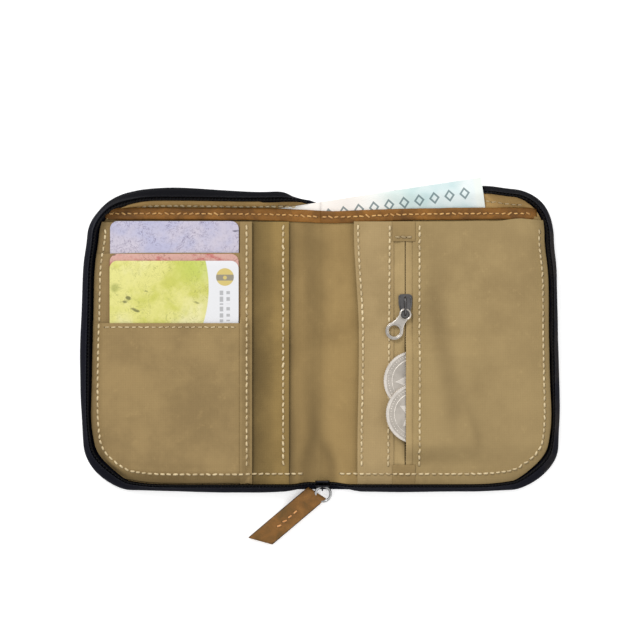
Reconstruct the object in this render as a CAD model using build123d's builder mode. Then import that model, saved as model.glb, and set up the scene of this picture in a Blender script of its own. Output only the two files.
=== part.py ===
from build123d import *
import math
import os

os.makedirs("parts", exist_ok=True)

# Zip-around bifold wallet, lying open. Millimetres, +Z up.
# Origin: centre of the spine's outer face, on the surface that the wallet lies on.
# +X runs across the open wallet towards the coin pocket, +Y towards the banknote opening.

# ---- Driving dimensions -------------------------------------------------------------
HINGE_X = 8.7            # distance of each fold line from the centre of the spine
HINGE_Z = 0.5            # height of the fold lines, inside the outer cover
FOLD_CLEARANCE = 0.35    # least gap between layers that turn about a fold line
COVER_REACH = 98.8       # far edge of each outer cover
COVER_HALF = 62.3        # half the height of the outer cover
COVER_CORNER = 17.4      # corner radius of the outer cover
BOARD_REACH = 94.0       # far edge of each stiffener board
BOARD_HALF = 58.5        # half the height of the stiffener board
BOARD_CORNER = 13.0
LINING_REACH = 94.8      # far edge of every sewn panel
LINING_LOW = -59.2       # lower sewn edge of the panels
LINING_HIGH = 59.4       # upper edge of the back lining
LINING_CORNER = 14.6     # corner radius of the lining
PANEL = 0.4              # thickness of a folded canvas panel
SEAM = 1.5               # width of a sewn edge

# Heights of the layers, from the table up
COVER_TOP = 0.9
STIFFENER_BASE = 0.95
BILL_LINING_BASE = 1.4
BILL_LINING = 0.3
NOTE_BASE = 1.9
NOTE = 0.15
INNER_BASE = 2.4
TRIM_BASE = 2.15
TRIM_TOP = 3.2
SLIP_BASE = 3.4
BACKING_BASE = 4.1
LAVENDER_BASE = 4.6
SLOT_UPPER_BASE = 5.46
PINK_BASE = 5.96
YELLOW_BASE = 6.8
SLOT_LOWER_BASE = 7.66

# Banknote opening and its leather edge
PANEL_TOP = 53.0         # upper edge of the canvas inner panel
TRIM_LOW = 50.4
TRIM_HIGH = 55.5
POCKET_TOP = 50.0        # upper edge of the pocket panels

# Cards, ID-1 size
CARD_WIDTH = 54.0
CARD_HEIGHT = 85.6
CARD_THICKNESS = 0.76
CARD_CORNER = 3.18
CARD_CENTRE_X = -61.5
LAVENDER_TOP = 50.1
PINK_TOP = 36.3
YELLOW_TOP = 33.4
SLOT_UPPER_TOP = 36.8
SLOT_LOWER_TOP = 7.3
CARD_PANEL_EDGE = -28.9
SLIP_PANEL_EDGE = -13.4
CARD_HEM = 5.0

# Banknote
NOTE_WIDTH = 140.0
NOTE_HEIGHT = 72.0
NOTE_TILT = 8.7          # degrees
NOTE_CENTRE = (3.45, 22.4)
NOTE_RAMP_START = 56.2   # the note climbs over the zip band between these two
NOTE_RAMP_END = 58.4
NOTE_CREST = 8.95

# Coin pocket
COIN_STRIP_NEAR = 15.6
COIN_STRIP_EDGE = 30.6
COIN_ZIP_X = 35.4
COIN_PANEL_EDGE = 38.5
COIN_BACK_BASE = 2.9
COIN_FLAT = 4.4          # underside of the coin panels where they lie flat
COIN_RAISED = 9.2        # underside of the coin panel over the coins
RISE_TOP = 2.5           # the panel climbs between these two heights along Y
RISE_END = -3.8
FALL_TOP = -45.0
FALL_END = -51.5
COIL_GAP = 0.25          # half the gap between the two coils
COIL_WIDTH = 1.6
COIL_BASE = 3.9
COIL_HEIGHT = 0.7
TAPE_BASE = 4.1
TAPE = 0.2
ZIP_TOP = 41.0
ZIP_BOTTOM = -51.8
COIN_RADIUS = 12.5
COIN_THICKNESS = 1.79
UPPER_COIN = (38.7, -16.9, 4.9)
LOWER_COIN = (39.6, -30.7, 6.75)

# Coin zip slider and its pull tab
COIN_SLIDER_LOW = 9.4
COIN_SLIDER_HIGH = 19.9
COIN_SLIDER_HALF = 2.9
COIN_PLATE_BASE = 3.3
COIN_PLATE_TOP = 5.3
TAB_HOLE = (35.0, 10.9)
TAB_BASE = 5.6
TAB_THICKNESS = 0.8
TAB_SWING = 31.5         # degrees from -Y towards -X
TAB_SPAN = 8.1           # between its two holes

# Perimeter zip
ZIP_BAND_START = 10.8    # the bands stop short of the fold lines
ZIP_LINE_REACH = 96.2    # the coil's centre line at the far side
ZIP_LINE_HALF = 59.7     # the coil's centre line at the upper and lower sides
ZIP_LINE_CORNER = 15.0
ZIP_TOP_Z = 8.8
BIG_COIL_HALF = 0.7
BIG_COIL_HEIGHT = 2.4

# Main slider, ring and tag
SLIDER_X = 0.6
SLIDER_HALF = 3.0
SLIDER_BASE = 1.0
SLIDER_TOP = 8.0
SLIDER_CHANNEL = 1.05    # half the clear width between its plates
SLIDER_PLATE = 0.5
RING_RADIUS = 3.15
RING_WIRE = 0.55
RING_Z = 1.75
RING_EYE_Y = -61.9
TAG_WIDTH = 8.8
TAG_OFFSET = -2.0        # the tag hangs off-centre on the ring
TAG_LENGTH = 33.0
TAG_THICKNESS = 2.2
TAG_ANGLE = 220.3        # direction of the tag on the table, degrees from +X
TAG_NECK = 3.0
TAG_START = 1.3          # where the tag widens beyond its neck
TAG_END_SKEW = 5.8       # how far the slanted end runs back across the width
TAG_NEAR_SKEW = 2.6      # how far the folded end leans away from the cover's edge


def save(part, label):
    """Label a finished piece and write it."""
    part.label = label
    export_step(part, f"parts/{label}.step")


def fold_gap(top):
    """How far from a fold line a layer stops, so that it can turn by a right angle."""
    return max(0.7, top - HINGE_Z + FOLD_CLEARANCE)


def half_shape(sign, near, reach, low, high, corner, window):
    """Sketch of a panel of one half: a round-cornered half outline cut to a window.

    window is (near, far, low, high), with near and far measured away from the spine.
    """
    w_near, w_far, w_low, w_high = window
    with Locations((sign * (near + reach) / 2, (low + high) / 2)):
        outline = Rectangle(reach - near, high - low)
    corners = outline.vertices().sort_by(Axis.X)
    fillet(corners[-2:] if sign > 0 else corners[:2], corner)
    with Locations((sign * (w_near + w_far) / 2, (w_low + w_high) / 2)):
        Rectangle(w_far - w_near, w_high - w_low, mode=Mode.INTERSECT)


def lining_shape(sign, near, far, low, high):
    """Sketch of a panel cut from the rounded lining outline."""
    half_shape(sign, HINGE_X, LINING_REACH, LINING_LOW, LINING_HIGH, LINING_CORNER,
               (near, far, low, high))


def canvas_panel(label, sign, near, far, low, high, base, thickness=PANEL, foot=None,
                 sewn=(), hem=SEAM):
    """A canvas panel whose sewn edges reach down to the layer at foot.

    sewn names the sewn edges: near, far, low and high.
    """
    with BuildPart() as panel:
        with BuildSketch(Plane.XY.offset(base)):
            lining_shape(sign, near, far, low, high)
        extrude(amount=thickness)
        if sewn:
            inner_near = near + hem if "near" in sewn else near - 40
            inner_far = far - hem if "far" in sewn else far + 1
            inner_low = low + SEAM if "low" in sewn else low - 40
            inner_high = high - SEAM if "high" in sewn else high + 40
            width = inner_far - inner_near
            height = inner_high - inner_low
            with BuildSketch(Plane.XY.offset(foot)):
                lining_shape(sign, near, far, low, high)
                with Locations((sign * (inner_near + inner_far) / 2,
                                (inner_low + inner_high) / 2)):
                    if "near" in sewn:
                        Rectangle(width, height, mode=Mode.SUBTRACT)
                    else:
                        RectangleRounded(width, height, LINING_CORNER - hem,
                                         mode=Mode.SUBTRACT)
            extrude(amount=base - foot)
    save(panel.part, label)


def outer_cover(label, sign):
    """The stiff outer shell of one half."""
    near = HINGE_X + fold_gap(COVER_TOP)
    with BuildPart() as cover:
        with BuildSketch():
            half_shape(sign, near, COVER_REACH, -COVER_HALF, COVER_HALF, COVER_CORNER,
                       (near, COVER_REACH, -COVER_HALF, COVER_HALF))
        extrude(amount=COVER_TOP)
    save(cover.part, label)


def stiffener(label, sign):
    """The board between the cover and the lining of one half."""
    near = HINGE_X + fold_gap(STIFFENER_BASE + PANEL)
    with BuildPart() as board:
        with BuildSketch(Plane.XY.offset(STIFFENER_BASE)):
            half_shape(sign, near, BOARD_REACH, -BOARD_HALF, BOARD_HALF, BOARD_CORNER,
                       (near, BOARD_REACH, -BOARD_HALF, BOARD_HALF))
        extrude(amount=PANEL)
    save(board.part, label)


def spine_strip(label, base, thickness, low, high):
    """A flat layer of the spine, narrow enough to turn between the two halves."""
    width = 2 * (HINGE_X - fold_gap(base + thickness))
    with BuildPart() as strip:
        with BuildSketch(Plane.XY.offset(base)):
            with Locations((0, (low + high) / 2)):
                Rectangle(width, high - low)
        extrude(amount=thickness)
    save(strip.part, label)


def leather_trim(label, x_low, x_high):
    """Leather folded over the upper edge of the inner panel."""
    with BuildPart() as trim:
        with BuildSketch(Plane.YZ.offset(x_low)):
            with BuildLine():
                Polyline((TRIM_LOW, TRIM_BASE), (TRIM_HIGH, TRIM_BASE), (TRIM_HIGH, TRIM_TOP),
                         (TRIM_LOW, TRIM_TOP), (TRIM_LOW, INNER_BASE + PANEL),
                         (PANEL_TOP, INNER_BASE + PANEL), (PANEL_TOP, INNER_BASE),
                         (TRIM_LOW, INNER_BASE), close=True)
            make_face()
        extrude(amount=x_high - x_low)
    save(trim.part, label)


def banknote(label, x_low, x_high, over_band):
    """One stretch of the banknote, level or climbing over the zip band."""
    if over_band:
        lower = [(-60, NOTE_BASE), (NOTE_RAMP_START, NOTE_BASE), (NOTE_RAMP_END, NOTE_CREST),
                 (75, NOTE_CREST)]
        upper = [(75, NOTE_CREST + NOTE), (NOTE_RAMP_END - 0.1, NOTE_CREST + NOTE),
                 (NOTE_RAMP_START - 0.1, NOTE_BASE + NOTE), (-60, NOTE_BASE + NOTE)]
    else:
        lower = [(-60, NOTE_BASE), (75, NOTE_BASE)]
        upper = [(75, NOTE_BASE + NOTE), (-60, NOTE_BASE + NOTE)]
    with BuildPart() as note:
        with BuildSketch(Plane.YZ.offset(x_low)):
            with BuildLine():
                Polyline(*lower, *upper, close=True)
            make_face()
        extrude(amount=x_high - x_low)
        with BuildSketch():
            with Locations(Location((NOTE_CENTRE[0], NOTE_CENTRE[1], 0), (0, 0, NOTE_TILT))):
                Rectangle(NOTE_WIDTH, NOTE_HEIGHT)
        extrude(amount=20, mode=Mode.INTERSECT)
    save(note.part, label)


def card(label, top, base):
    """An ID-1 card standing upright in the card panel."""
    with BuildPart() as body:
        with BuildSketch(Plane.XY.offset(base)):
            with Locations((CARD_CENTRE_X, top - CARD_HEIGHT / 2)):
                RectangleRounded(CARD_WIDTH, CARD_HEIGHT, CARD_CORNER)
        extrude(amount=CARD_THICKNESS)
    save(body.part, label)


def zip_path(sign):
    """The zip's line round one half, from the upper spine end to the lower one."""
    start = sign * ZIP_BAND_START
    far = sign * ZIP_LINE_REACH
    return FilletPolyline((start, ZIP_LINE_HALF), (far, ZIP_LINE_HALF), (far, -ZIP_LINE_HALF),
                          (start, -ZIP_LINE_HALF), radius=ZIP_LINE_CORNER)


def swept_round(label, sign, profile):
    """Sweep a (outward, height) profile round one half."""
    start = Plane(origin=(sign * ZIP_BAND_START, ZIP_LINE_HALF, 0), x_dir=(0, 1, 0),
                  z_dir=(sign, 0, 0))
    turned = profile if sign > 0 else [(n, -z) for n, z in profile]
    with BuildPart() as band:
        with BuildLine() as route:
            zip_path(sign)
        with BuildSketch(start):
            with BuildLine():
                Polyline(*turned, close=True)
            make_face()
        sweep(path=route.wires()[0])
    save(band.part, label)


def zip_band(label, sign):
    """The navy zip tape: it bulges at the foot and leans in to hold the coil."""
    profile = [(1.6, COVER_TOP), (2.9, COVER_TOP), (3.3, 1.9), (3.1, 3.0), (2.2, 4.2),
               (0.98, 5.1), (0.98, ZIP_TOP_Z), (0.72, ZIP_TOP_Z), (0.72, 4.8), (1.5, 3.9),
               (2.3, 2.9), (2.4, 2.0)]
    swept_round(label, sign, profile)


def zip_coil(label, sign):
    """The row of coil teeth on the free edge of the zip tape."""
    low = ZIP_TOP_Z - BIG_COIL_HEIGHT
    profile = [(-BIG_COIL_HALF, low), (BIG_COIL_HALF, low), (BIG_COIL_HALF, ZIP_TOP_Z),
               (-BIG_COIL_HALF, ZIP_TOP_Z)]
    swept_round(label, sign, profile)


def raised_line(low, high, flat, raised):
    """Points (Y, Z) of a line that lies flat and rises over the coins."""
    return [(high, flat), (RISE_TOP, flat), (RISE_END, raised), (FALL_TOP, raised),
            (FALL_END, flat), (low, flat)]


def raised_strip(label, x_low, x_high, low, high, flat, lift, thickness):
    """A strip along the coin zip's right side that rises over the coins."""
    under = raised_line(low, high, flat, flat + lift)
    over = raised_line(low, high, flat + thickness, flat + lift + thickness)
    with BuildPart() as strip:
        with BuildSketch(Plane.YZ.offset(x_low)):
            with BuildLine():
                Polyline(*under, *reversed(over), close=True)
            make_face()
        extrude(amount=x_high - x_low)
    save(strip.part, label)


# ---- Left half ----------------------------------------------------------------------
outer_cover("outer_cover_left", -1)
stiffener("stiffener_left", -1)

bill_top = BILL_LINING_BASE + BILL_LINING
bill_near = HINGE_X + fold_gap(bill_top)
canvas_panel("bill_lining_left", -1, bill_near, LINING_REACH, LINING_LOW, LINING_HIGH,
             BILL_LINING_BASE, BILL_LINING)

inner_top = INNER_BASE + PANEL
inner_near = HINGE_X + fold_gap(inner_top)
canvas_panel("inner_panel_left", -1, inner_near, LINING_REACH, LINING_LOW, PANEL_TOP,
             INNER_BASE, foot=bill_top, sewn=("far", "low"))

trim_near = HINGE_X + fold_gap(TRIM_TOP)
leather_trim("leather_trim_left", -92.0, -trim_near)

canvas_panel("slip_pocket_panel", -1, -SLIP_PANEL_EDGE, LINING_REACH, LINING_LOW, POCKET_TOP,
             SLIP_BASE, foot=inner_top, sewn=("far", "low", "high"))
canvas_panel("card_backing_panel", -1, -CARD_PANEL_EDGE, LINING_REACH, LINING_LOW, POCKET_TOP,
             BACKING_BASE, foot=SLIP_BASE + PANEL, sewn=("far", "low", "high"))
canvas_panel("card_slot_upper", -1, -CARD_PANEL_EDGE, LINING_REACH, -57.4, SLOT_UPPER_TOP,
             SLOT_UPPER_BASE, foot=BACKING_BASE + PANEL, sewn=("near", "far", "low"),
             hem=CARD_HEM)
canvas_panel("card_slot_lower", -1, -CARD_PANEL_EDGE, LINING_REACH, -57.4, SLOT_LOWER_TOP,
             SLOT_LOWER_BASE, foot=SLOT_UPPER_BASE + PANEL, sewn=("near", "far", "low"),
             hem=CARD_HEM)

card("card_lavender", LAVENDER_TOP, LAVENDER_BASE)
card("card_pink", PINK_TOP, PINK_BASE)
card("card_yellow", YELLOW_TOP, YELLOW_BASE)

zip_band("zip_band_left", -1)
zip_coil("zip_coil_left", -1)

# ---- Spine --------------------------------------------------------------------------
with BuildPart() as spine_cover:
    with BuildSketch():
        Rectangle(2 * (HINGE_X - fold_gap(COVER_TOP)), 2 * COVER_HALF)
        with Locations((SLIDER_X, -COVER_HALF)):
            Rectangle(9.6, 3.4, mode=Mode.SUBTRACT)
    extrude(amount=COVER_TOP)
save(spine_cover.part, "outer_cover_spine")

SPINE_LOW = -56.8        # the spine's layers stop short of the main slider
spine_strip("bill_lining_spine", BILL_LINING_BASE, BILL_LINING, SPINE_LOW, LINING_HIGH)
spine_strip("inner_panel_spine", INNER_BASE, PANEL, SPINE_LOW, PANEL_TOP)
trim_half = HINGE_X - fold_gap(TRIM_TOP)
leather_trim("leather_trim_spine", -trim_half, trim_half)

# ---- Banknote, one stretch for each body that it lies on ------------------------------
note_gap = fold_gap(NOTE_BASE + NOTE)
banknote("banknote_left", -75, -HINGE_X - note_gap, over_band=False)
banknote("banknote_spine", -HINGE_X + note_gap, HINGE_X - note_gap, over_band=False)
banknote("banknote_right", HINGE_X + note_gap, 80, over_band=True)

# ---- Right half ---------------------------------------------------------------------
outer_cover("outer_cover_right", 1)
stiffener("stiffener_right", 1)
canvas_panel("bill_lining_right", 1, bill_near, LINING_REACH, LINING_LOW, LINING_HIGH,
             BILL_LINING_BASE, BILL_LINING)
canvas_panel("inner_panel_right", 1, inner_near, LINING_REACH, LINING_LOW, PANEL_TOP,
             INNER_BASE, foot=bill_top, sewn=("low",))
leather_trim("leather_trim_right", trim_near, 92.0)

coin_back_top = COIN_BACK_BASE + 0.3
canvas_panel("coin_pocket_back", 1, COIN_STRIP_NEAR, LINING_REACH, LINING_LOW, POCKET_TOP,
             COIN_BACK_BASE, thickness=0.3)
canvas_panel("coin_panel_left", 1, COIN_STRIP_NEAR, COIN_STRIP_EDGE, LINING_LOW, POCKET_TOP,
             COIN_FLAT, foot=coin_back_top, sewn=("near", "low", "high"))

with BuildPart() as coin_panel:
    under = raised_line(LINING_LOW, POCKET_TOP, COIN_FLAT, COIN_RAISED)
    over = raised_line(LINING_LOW, POCKET_TOP, COIN_FLAT + PANEL, COIN_RAISED + PANEL)
    with BuildSketch(Plane.YZ.offset(COIN_PANEL_EDGE)):
        with BuildLine():
            Polyline((POCKET_TOP, coin_back_top), *over, (LINING_LOW, coin_back_top),
                     close=True)
        make_face()
    extrude(amount=LINING_REACH - COIN_PANEL_EDGE)
    with BuildSketch(Plane.YZ.offset(COIN_PANEL_EDGE)):
        cavity = [(min(POCKET_TOP - SEAM, max(LINING_LOW + SEAM, y)), z) for y, z in under]
        with BuildLine():
            Polyline((POCKET_TOP - SEAM, coin_back_top), *cavity,
                     (LINING_LOW + SEAM, coin_back_top), close=True)
        make_face()
    extrude(amount=LINING_REACH - COIN_PANEL_EDGE - LINING_CORNER, mode=Mode.SUBTRACT)
    with BuildSketch(Plane.XY):
        lining_shape(1, COIN_PANEL_EDGE, LINING_REACH, LINING_LOW, POCKET_TOP)
    extrude(amount=20, mode=Mode.INTERSECT)
save(coin_panel.part, "coin_panel_right")

zip_left_far = COIN_ZIP_X - COIL_GAP
zip_left_near = zip_left_far - COIL_WIDTH
zip_right_near = COIN_ZIP_X + COIL_GAP
zip_right_far = zip_right_near + COIL_WIDTH
lift = COIN_RAISED - COIN_FLAT
for label, x_low, x_high, base, height in (
        ("coin_zip_tape_left", 26.0, zip_left_near, TAPE_BASE, TAPE),
        ("coin_zip_coil_left", zip_left_near, zip_left_far, COIL_BASE, COIL_HEIGHT)):
    with BuildPart() as zip_side:
        with BuildSketch(Plane.XY.offset(base)):
            with Locations(((x_low + x_high) / 2, (ZIP_TOP + ZIP_BOTTOM) / 2)):
                Rectangle(x_high - x_low, ZIP_TOP - ZIP_BOTTOM)
        extrude(amount=height)
    save(zip_side.part, label)
raised_strip("coin_zip_tape_right", zip_right_far, 42.0, ZIP_BOTTOM, ZIP_TOP, TAPE_BASE,
             lift, TAPE)
raised_strip("coin_zip_coil_right", zip_right_near, zip_right_far, ZIP_BOTTOM, ZIP_TOP,
             COIL_BASE, lift, COIL_HEIGHT)

TAB_TOP_Z = COIN_FLAT + PANEL
for label, low, high in (("coin_zip_tab_top", 41.6, POCKET_TOP),
                         ("coin_zip_tab_bottom", LINING_LOW, -52.2)):
    with BuildPart() as tab:
        with BuildSketch(Plane.XY.offset(TAB_TOP_Z)):
            with Locations((34.8, (low + high) / 2)):
                Rectangle(9.6, high - low)
        extrude(amount=0.35)
    save(tab.part, label)

for label, (x, y, z) in (("coin_upper", UPPER_COIN), ("coin_lower", LOWER_COIN)):
    with BuildPart() as coin:
        with BuildSketch(Plane.XY.offset(z)):
            with Locations((x, y)):
                Circle(COIN_RADIUS)
        extrude(amount=COIN_THICKNESS)
        chamfer(coin.edges().filter_by(GeomType.CIRCLE), 0.2)
        with BuildSketch(Plane.XY.offset(z + COIN_THICKNESS)):
            with Locations((x, y)):
                Circle(COIN_RADIUS - 1.2)
        extrude(amount=-0.12, mode=Mode.SUBTRACT)
    save(coin.part, label)

# Coin slider: two plates joined by a thin post between the coils, with an arched bridge
slider_middle = (COIN_SLIDER_LOW + COIN_SLIDER_HIGH) / 2
slider_length = COIN_SLIDER_HIGH - COIN_SLIDER_LOW
BRIDGE_FRONT = TAB_HOLE[1] - 0.4
BRIDGE_BACK = 18.4
BRIDGE_TOP = 7.4
with BuildPart() as coin_slider:
    with BuildSketch(Plane.XY.offset(COIN_PLATE_BASE)):
        with Locations((COIN_ZIP_X, slider_middle)):
            RectangleRounded(2 * COIN_SLIDER_HALF - 0.4, slider_length - 0.4, 1.6)
    extrude(amount=0.4)
    with BuildSketch(Plane.XY.offset(COIN_PLATE_TOP - 0.55)):
        with Locations((COIN_ZIP_X, slider_middle)):
            RectangleRounded(2 * COIN_SLIDER_HALF, slider_length, 1.8)
    extrude(amount=0.55)
    with BuildSketch(Plane.XY.offset(COIN_PLATE_BASE)):
        with Locations((COIN_ZIP_X, slider_middle)):
            Rectangle(0.3, 5.0)
    extrude(amount=COIN_PLATE_TOP - COIN_PLATE_BASE)
    with BuildSketch(Plane.YZ.offset(COIN_ZIP_X - 0.45)):
        with BuildLine():
            Polyline((BRIDGE_FRONT, COIN_PLATE_TOP), (BRIDGE_FRONT, BRIDGE_TOP),
                     (BRIDGE_BACK, BRIDGE_TOP), (BRIDGE_BACK, COIN_PLATE_TOP),
                     (BRIDGE_BACK - 0.8, COIN_PLATE_TOP), (BRIDGE_BACK - 0.8, 6.9),
                     (BRIDGE_FRONT + 0.8, 6.9), (BRIDGE_FRONT + 0.8, COIN_PLATE_TOP),
                     close=True)
        make_face()
    extrude(amount=0.9)
save(coin_slider.part, "coin_slider")

# Pull tab: a small eye round the bridge, and a large eye at its far end
swing = math.radians(TAB_SWING)
big_eye = (TAB_HOLE[0] - TAB_SPAN * math.sin(swing), TAB_HOLE[1] - TAB_SPAN * math.cos(swing))
small_eye = (TAB_HOLE[0] + 0.35, TAB_HOLE[1])
with BuildPart() as pull_tab:
    with BuildSketch(Plane.XY.offset(TAB_BASE)):
        with Locations(small_eye):
            Circle(2.6)
        with Locations(big_eye):
            Circle(3.75)
        middle = ((small_eye[0] + big_eye[0]) / 2, (small_eye[1] + big_eye[1]) / 2)
        with Locations(Location((middle[0], middle[1], 0), (0, 0, -TAB_SWING))):
            Rectangle(4.0, TAB_SPAN)
        with Locations(small_eye):
            Circle(1.75, mode=Mode.SUBTRACT)
        with Locations(big_eye):
            Circle(2.5, mode=Mode.SUBTRACT)
    extrude(amount=TAB_THICKNESS)
save(pull_tab.part, "coin_pull_tab")

zip_band("zip_band_right", 1)
zip_coil("zip_coil_right", 1)

# ---- Main slider, ring and leather tag ------------------------------------------------
plate_offset = SLIDER_CHANNEL + SLIDER_PLATE / 2
with BuildPart() as main_slider:
    for side in (-1, 1):
        with BuildSketch(Plane.XZ.offset(ZIP_LINE_HALF + side * plate_offset - SLIDER_PLATE / 2)):
            with Locations((SLIDER_X, (SLIDER_BASE + SLIDER_TOP) / 2)):
                RectangleRounded(2 * SLIDER_HALF, SLIDER_TOP - SLIDER_BASE, 1.5)
        extrude(amount=SLIDER_PLATE)
    with BuildSketch(Plane.XY.offset(SLIDER_BASE + 0.2)):
        with Locations((0, -ZIP_LINE_HALF)):
            Rectangle(0.5, 2 * SLIDER_CHANNEL + 0.4)
    extrude(amount=1.2)
    face_y = -ZIP_LINE_HALF - SLIDER_CHANNEL - SLIDER_PLATE
    with BuildSketch(Plane.YZ.offset(SLIDER_X - 0.55)):
        with BuildLine():
            Polyline((face_y + 0.2, 0.6), (-63.2, 0.6), (-63.2, 5.6), (face_y + 0.2, 5.6),
                     (face_y + 0.2, 5.0), (-62.6, 5.0), (-62.6, 1.1), (face_y + 0.2, 1.1),
                     close=True)
        make_face()
    extrude(amount=1.1)
save(main_slider.part, "main_slider")

ring_centre_y = RING_EYE_Y - RING_RADIUS
with BuildPart() as pull_ring:
    with BuildLine() as ring_path:
        CenterArc((SLIDER_X, ring_centre_y, RING_Z), RING_RADIUS, 0, 360)
    with BuildSketch(Plane(origin=(SLIDER_X + RING_RADIUS, ring_centre_y, RING_Z),
                           x_dir=(1, 0, 0), z_dir=(0, 1, 0))):
        Circle(RING_WIRE)
    sweep(path=ring_path.wires()[0])
save(pull_ring.part, "pull_ring")

tag_turn = math.radians(TAG_ANGLE)
tag_pivot = (SLIDER_X + RING_RADIUS * math.cos(tag_turn),
             ring_centre_y + RING_RADIUS * math.sin(tag_turn))
tag_plane = Plane(origin=(tag_pivot[0], tag_pivot[1], RING_Z),
                  x_dir=(math.cos(tag_turn), math.sin(tag_turn), 0), z_dir=(0, 0, 1))
tag_low = TAG_OFFSET - TAG_WIDTH / 2
tag_high = TAG_OFFSET + TAG_WIDTH / 2
with BuildPart() as pull_tag:
    with BuildSketch(tag_plane.offset(0.1 - RING_Z)):
        with BuildLine():
            Polyline((TAG_START + TAG_NEAR_SKEW, tag_low), (TAG_LENGTH, tag_low),
                     (TAG_LENGTH - TAG_END_SKEW, tag_high), (TAG_START, tag_high), close=True)
        make_face()
    extrude(amount=TAG_THICKNESS)
    neck_plane = Plane(origin=tag_plane.from_local_coords((0, -TAG_NECK / 2, 0)),
                       x_dir=tag_plane.x_dir, z_dir=tag_plane.y_dir)
    with BuildSketch(neck_plane):
        Circle(1.6)
        with Locations((1.0, 0)):
            Rectangle(2.0, 2.2)
    extrude(amount=TAG_NECK)
    with BuildSketch(neck_plane):
        Circle(1.1)
    extrude(amount=TAG_NECK, mode=Mode.SUBTRACT)
save(pull_tag.part, "pull_tag")
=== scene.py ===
import math

import bmesh
import bpy
import numpy as np
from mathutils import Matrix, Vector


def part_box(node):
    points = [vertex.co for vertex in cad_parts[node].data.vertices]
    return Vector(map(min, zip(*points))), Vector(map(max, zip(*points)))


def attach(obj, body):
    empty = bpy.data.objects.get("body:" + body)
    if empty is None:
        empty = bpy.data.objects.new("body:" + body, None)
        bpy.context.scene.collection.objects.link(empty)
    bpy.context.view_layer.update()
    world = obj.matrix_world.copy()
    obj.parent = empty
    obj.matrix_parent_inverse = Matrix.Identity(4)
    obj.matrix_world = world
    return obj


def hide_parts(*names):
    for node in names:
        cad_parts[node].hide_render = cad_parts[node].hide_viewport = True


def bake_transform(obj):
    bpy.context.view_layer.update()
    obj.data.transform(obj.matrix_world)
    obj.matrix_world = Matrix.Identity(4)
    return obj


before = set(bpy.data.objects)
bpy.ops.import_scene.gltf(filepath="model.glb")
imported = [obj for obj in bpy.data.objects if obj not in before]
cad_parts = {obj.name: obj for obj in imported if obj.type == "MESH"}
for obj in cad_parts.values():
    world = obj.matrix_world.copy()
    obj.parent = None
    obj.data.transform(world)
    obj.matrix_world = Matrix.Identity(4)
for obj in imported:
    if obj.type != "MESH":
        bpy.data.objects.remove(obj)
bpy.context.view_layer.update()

MM = 0.001

# ---- Places taken from the frame, in millimetres ---------------------------------------


def node_box(node):
    """Lowest and highest corner of a CAD node, in millimetres."""
    low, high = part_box(node)
    return np.array(low) / MM, np.array(high) / MM


LINING_REACH = node_box("inner_panel_right")[1][0]
LINING_LOW = node_box("inner_panel_right")[0][1]
LINING_HIGH = node_box("bill_lining_right")[1][1]
LINING_CORNER = 14.6
COVER_REACH = node_box("outer_cover_right")[1][0]
COVER_HALF = node_box("outer_cover_right")[1][1]
POCKET_TOP = node_box("slip_pocket_panel")[1][1]
SLIP_EDGE = node_box("slip_pocket_panel")[1][0]
CARD_EDGE = node_box("card_backing_panel")[1][0]
SLOT_UPPER_TOP = node_box("card_slot_upper")[1][1]
SLOT_LOWER_TOP = node_box("card_slot_lower")[1][1]
STRIP_NEAR = node_box("coin_panel_left")[0][0]
STRIP_EDGE = node_box("coin_panel_left")[1][0]
COIN_PANEL_EDGE = node_box("coin_panel_right")[0][0]
COIN_ZIP_X = (node_box("coin_zip_coil_left")[1][0] + node_box("coin_zip_coil_right")[0][0]) / 2
ZIP_HALF = (node_box("zip_coil_right")[1][1] + 59.0) / 2
ZIP_REACH = node_box("zip_coil_right")[1][0] - 0.7
ZIP_CORNER = 15.0
ZIP_TOP = node_box("zip_coil_right")[1][2]


# ---- Small tools -----------------------------------------------------------------------


def ease(t):
    """Smooth step from 0 to 1."""
    t = np.clip(t, 0.0, 1.0)
    return t * t * (3 - 2 * t)


def bump(t):
    """A soft bell, 1 at t = 0."""
    return np.exp(-np.square(t))


def ripple(x, y, cell, seed):
    """Smooth seeded noise in -1..1, with features about one cell wide."""
    grid = np.random.default_rng(seed).uniform(-1, 1, (64, 64))
    u, v = np.asarray(x) / cell, np.asarray(y) / cell
    i, j = np.floor(u).astype(int), np.floor(v).astype(int)
    s, t = ease(u - i), ease(v - j)
    low = grid[i % 64, j % 64] * (1 - s) + grid[(i + 1) % 64, j % 64] * s
    high = grid[i % 64, (j + 1) % 64] * (1 - s) + grid[(i + 1) % 64, (j + 1) % 64] * s
    return low * (1 - t) + high * t


def new_object(name, verts, faces, material, smooth=True, keep_normals=False, flat=()):
    """A mesh object from points in millimetres."""
    mesh = bpy.data.meshes.new(name)
    mesh.from_pydata([tuple(v) for v in np.asarray(verts, float) * MM], [],
                     [tuple(int(i) for i in f) for f in faces])
    if not keep_normals:
        shape = bmesh.new()
        shape.from_mesh(mesh)
        bmesh.ops.recalc_face_normals(shape, faces=shape.faces)
        shape.to_mesh(mesh)
        shape.free()
    shaded = np.full(len(mesh.polygons), smooth)
    if len(flat):
        shaded[np.asarray(flat)] = False
    mesh.polygons.foreach_set("use_smooth", shaded)
    piece = bpy.data.objects.new(name, mesh)
    bpy.context.scene.collection.objects.link(piece)
    if material:
        mesh.materials.append(material)
    return piece


def place(piece, body, slot, *nodes):
    """Attach a piece to a body (pieces of the left and right folds are only baked in place) and
    hide the CAD nodes that it stands for; slot is not used.
    """
    if body == "left_fold":
        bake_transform(piece)
    elif body == "right_fold":
        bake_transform(piece)
    else:
        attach(piece, body)
    if nodes:
        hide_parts(*nodes)
    return piece


# ---- Materials -------------------------------------------------------------------------


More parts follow.
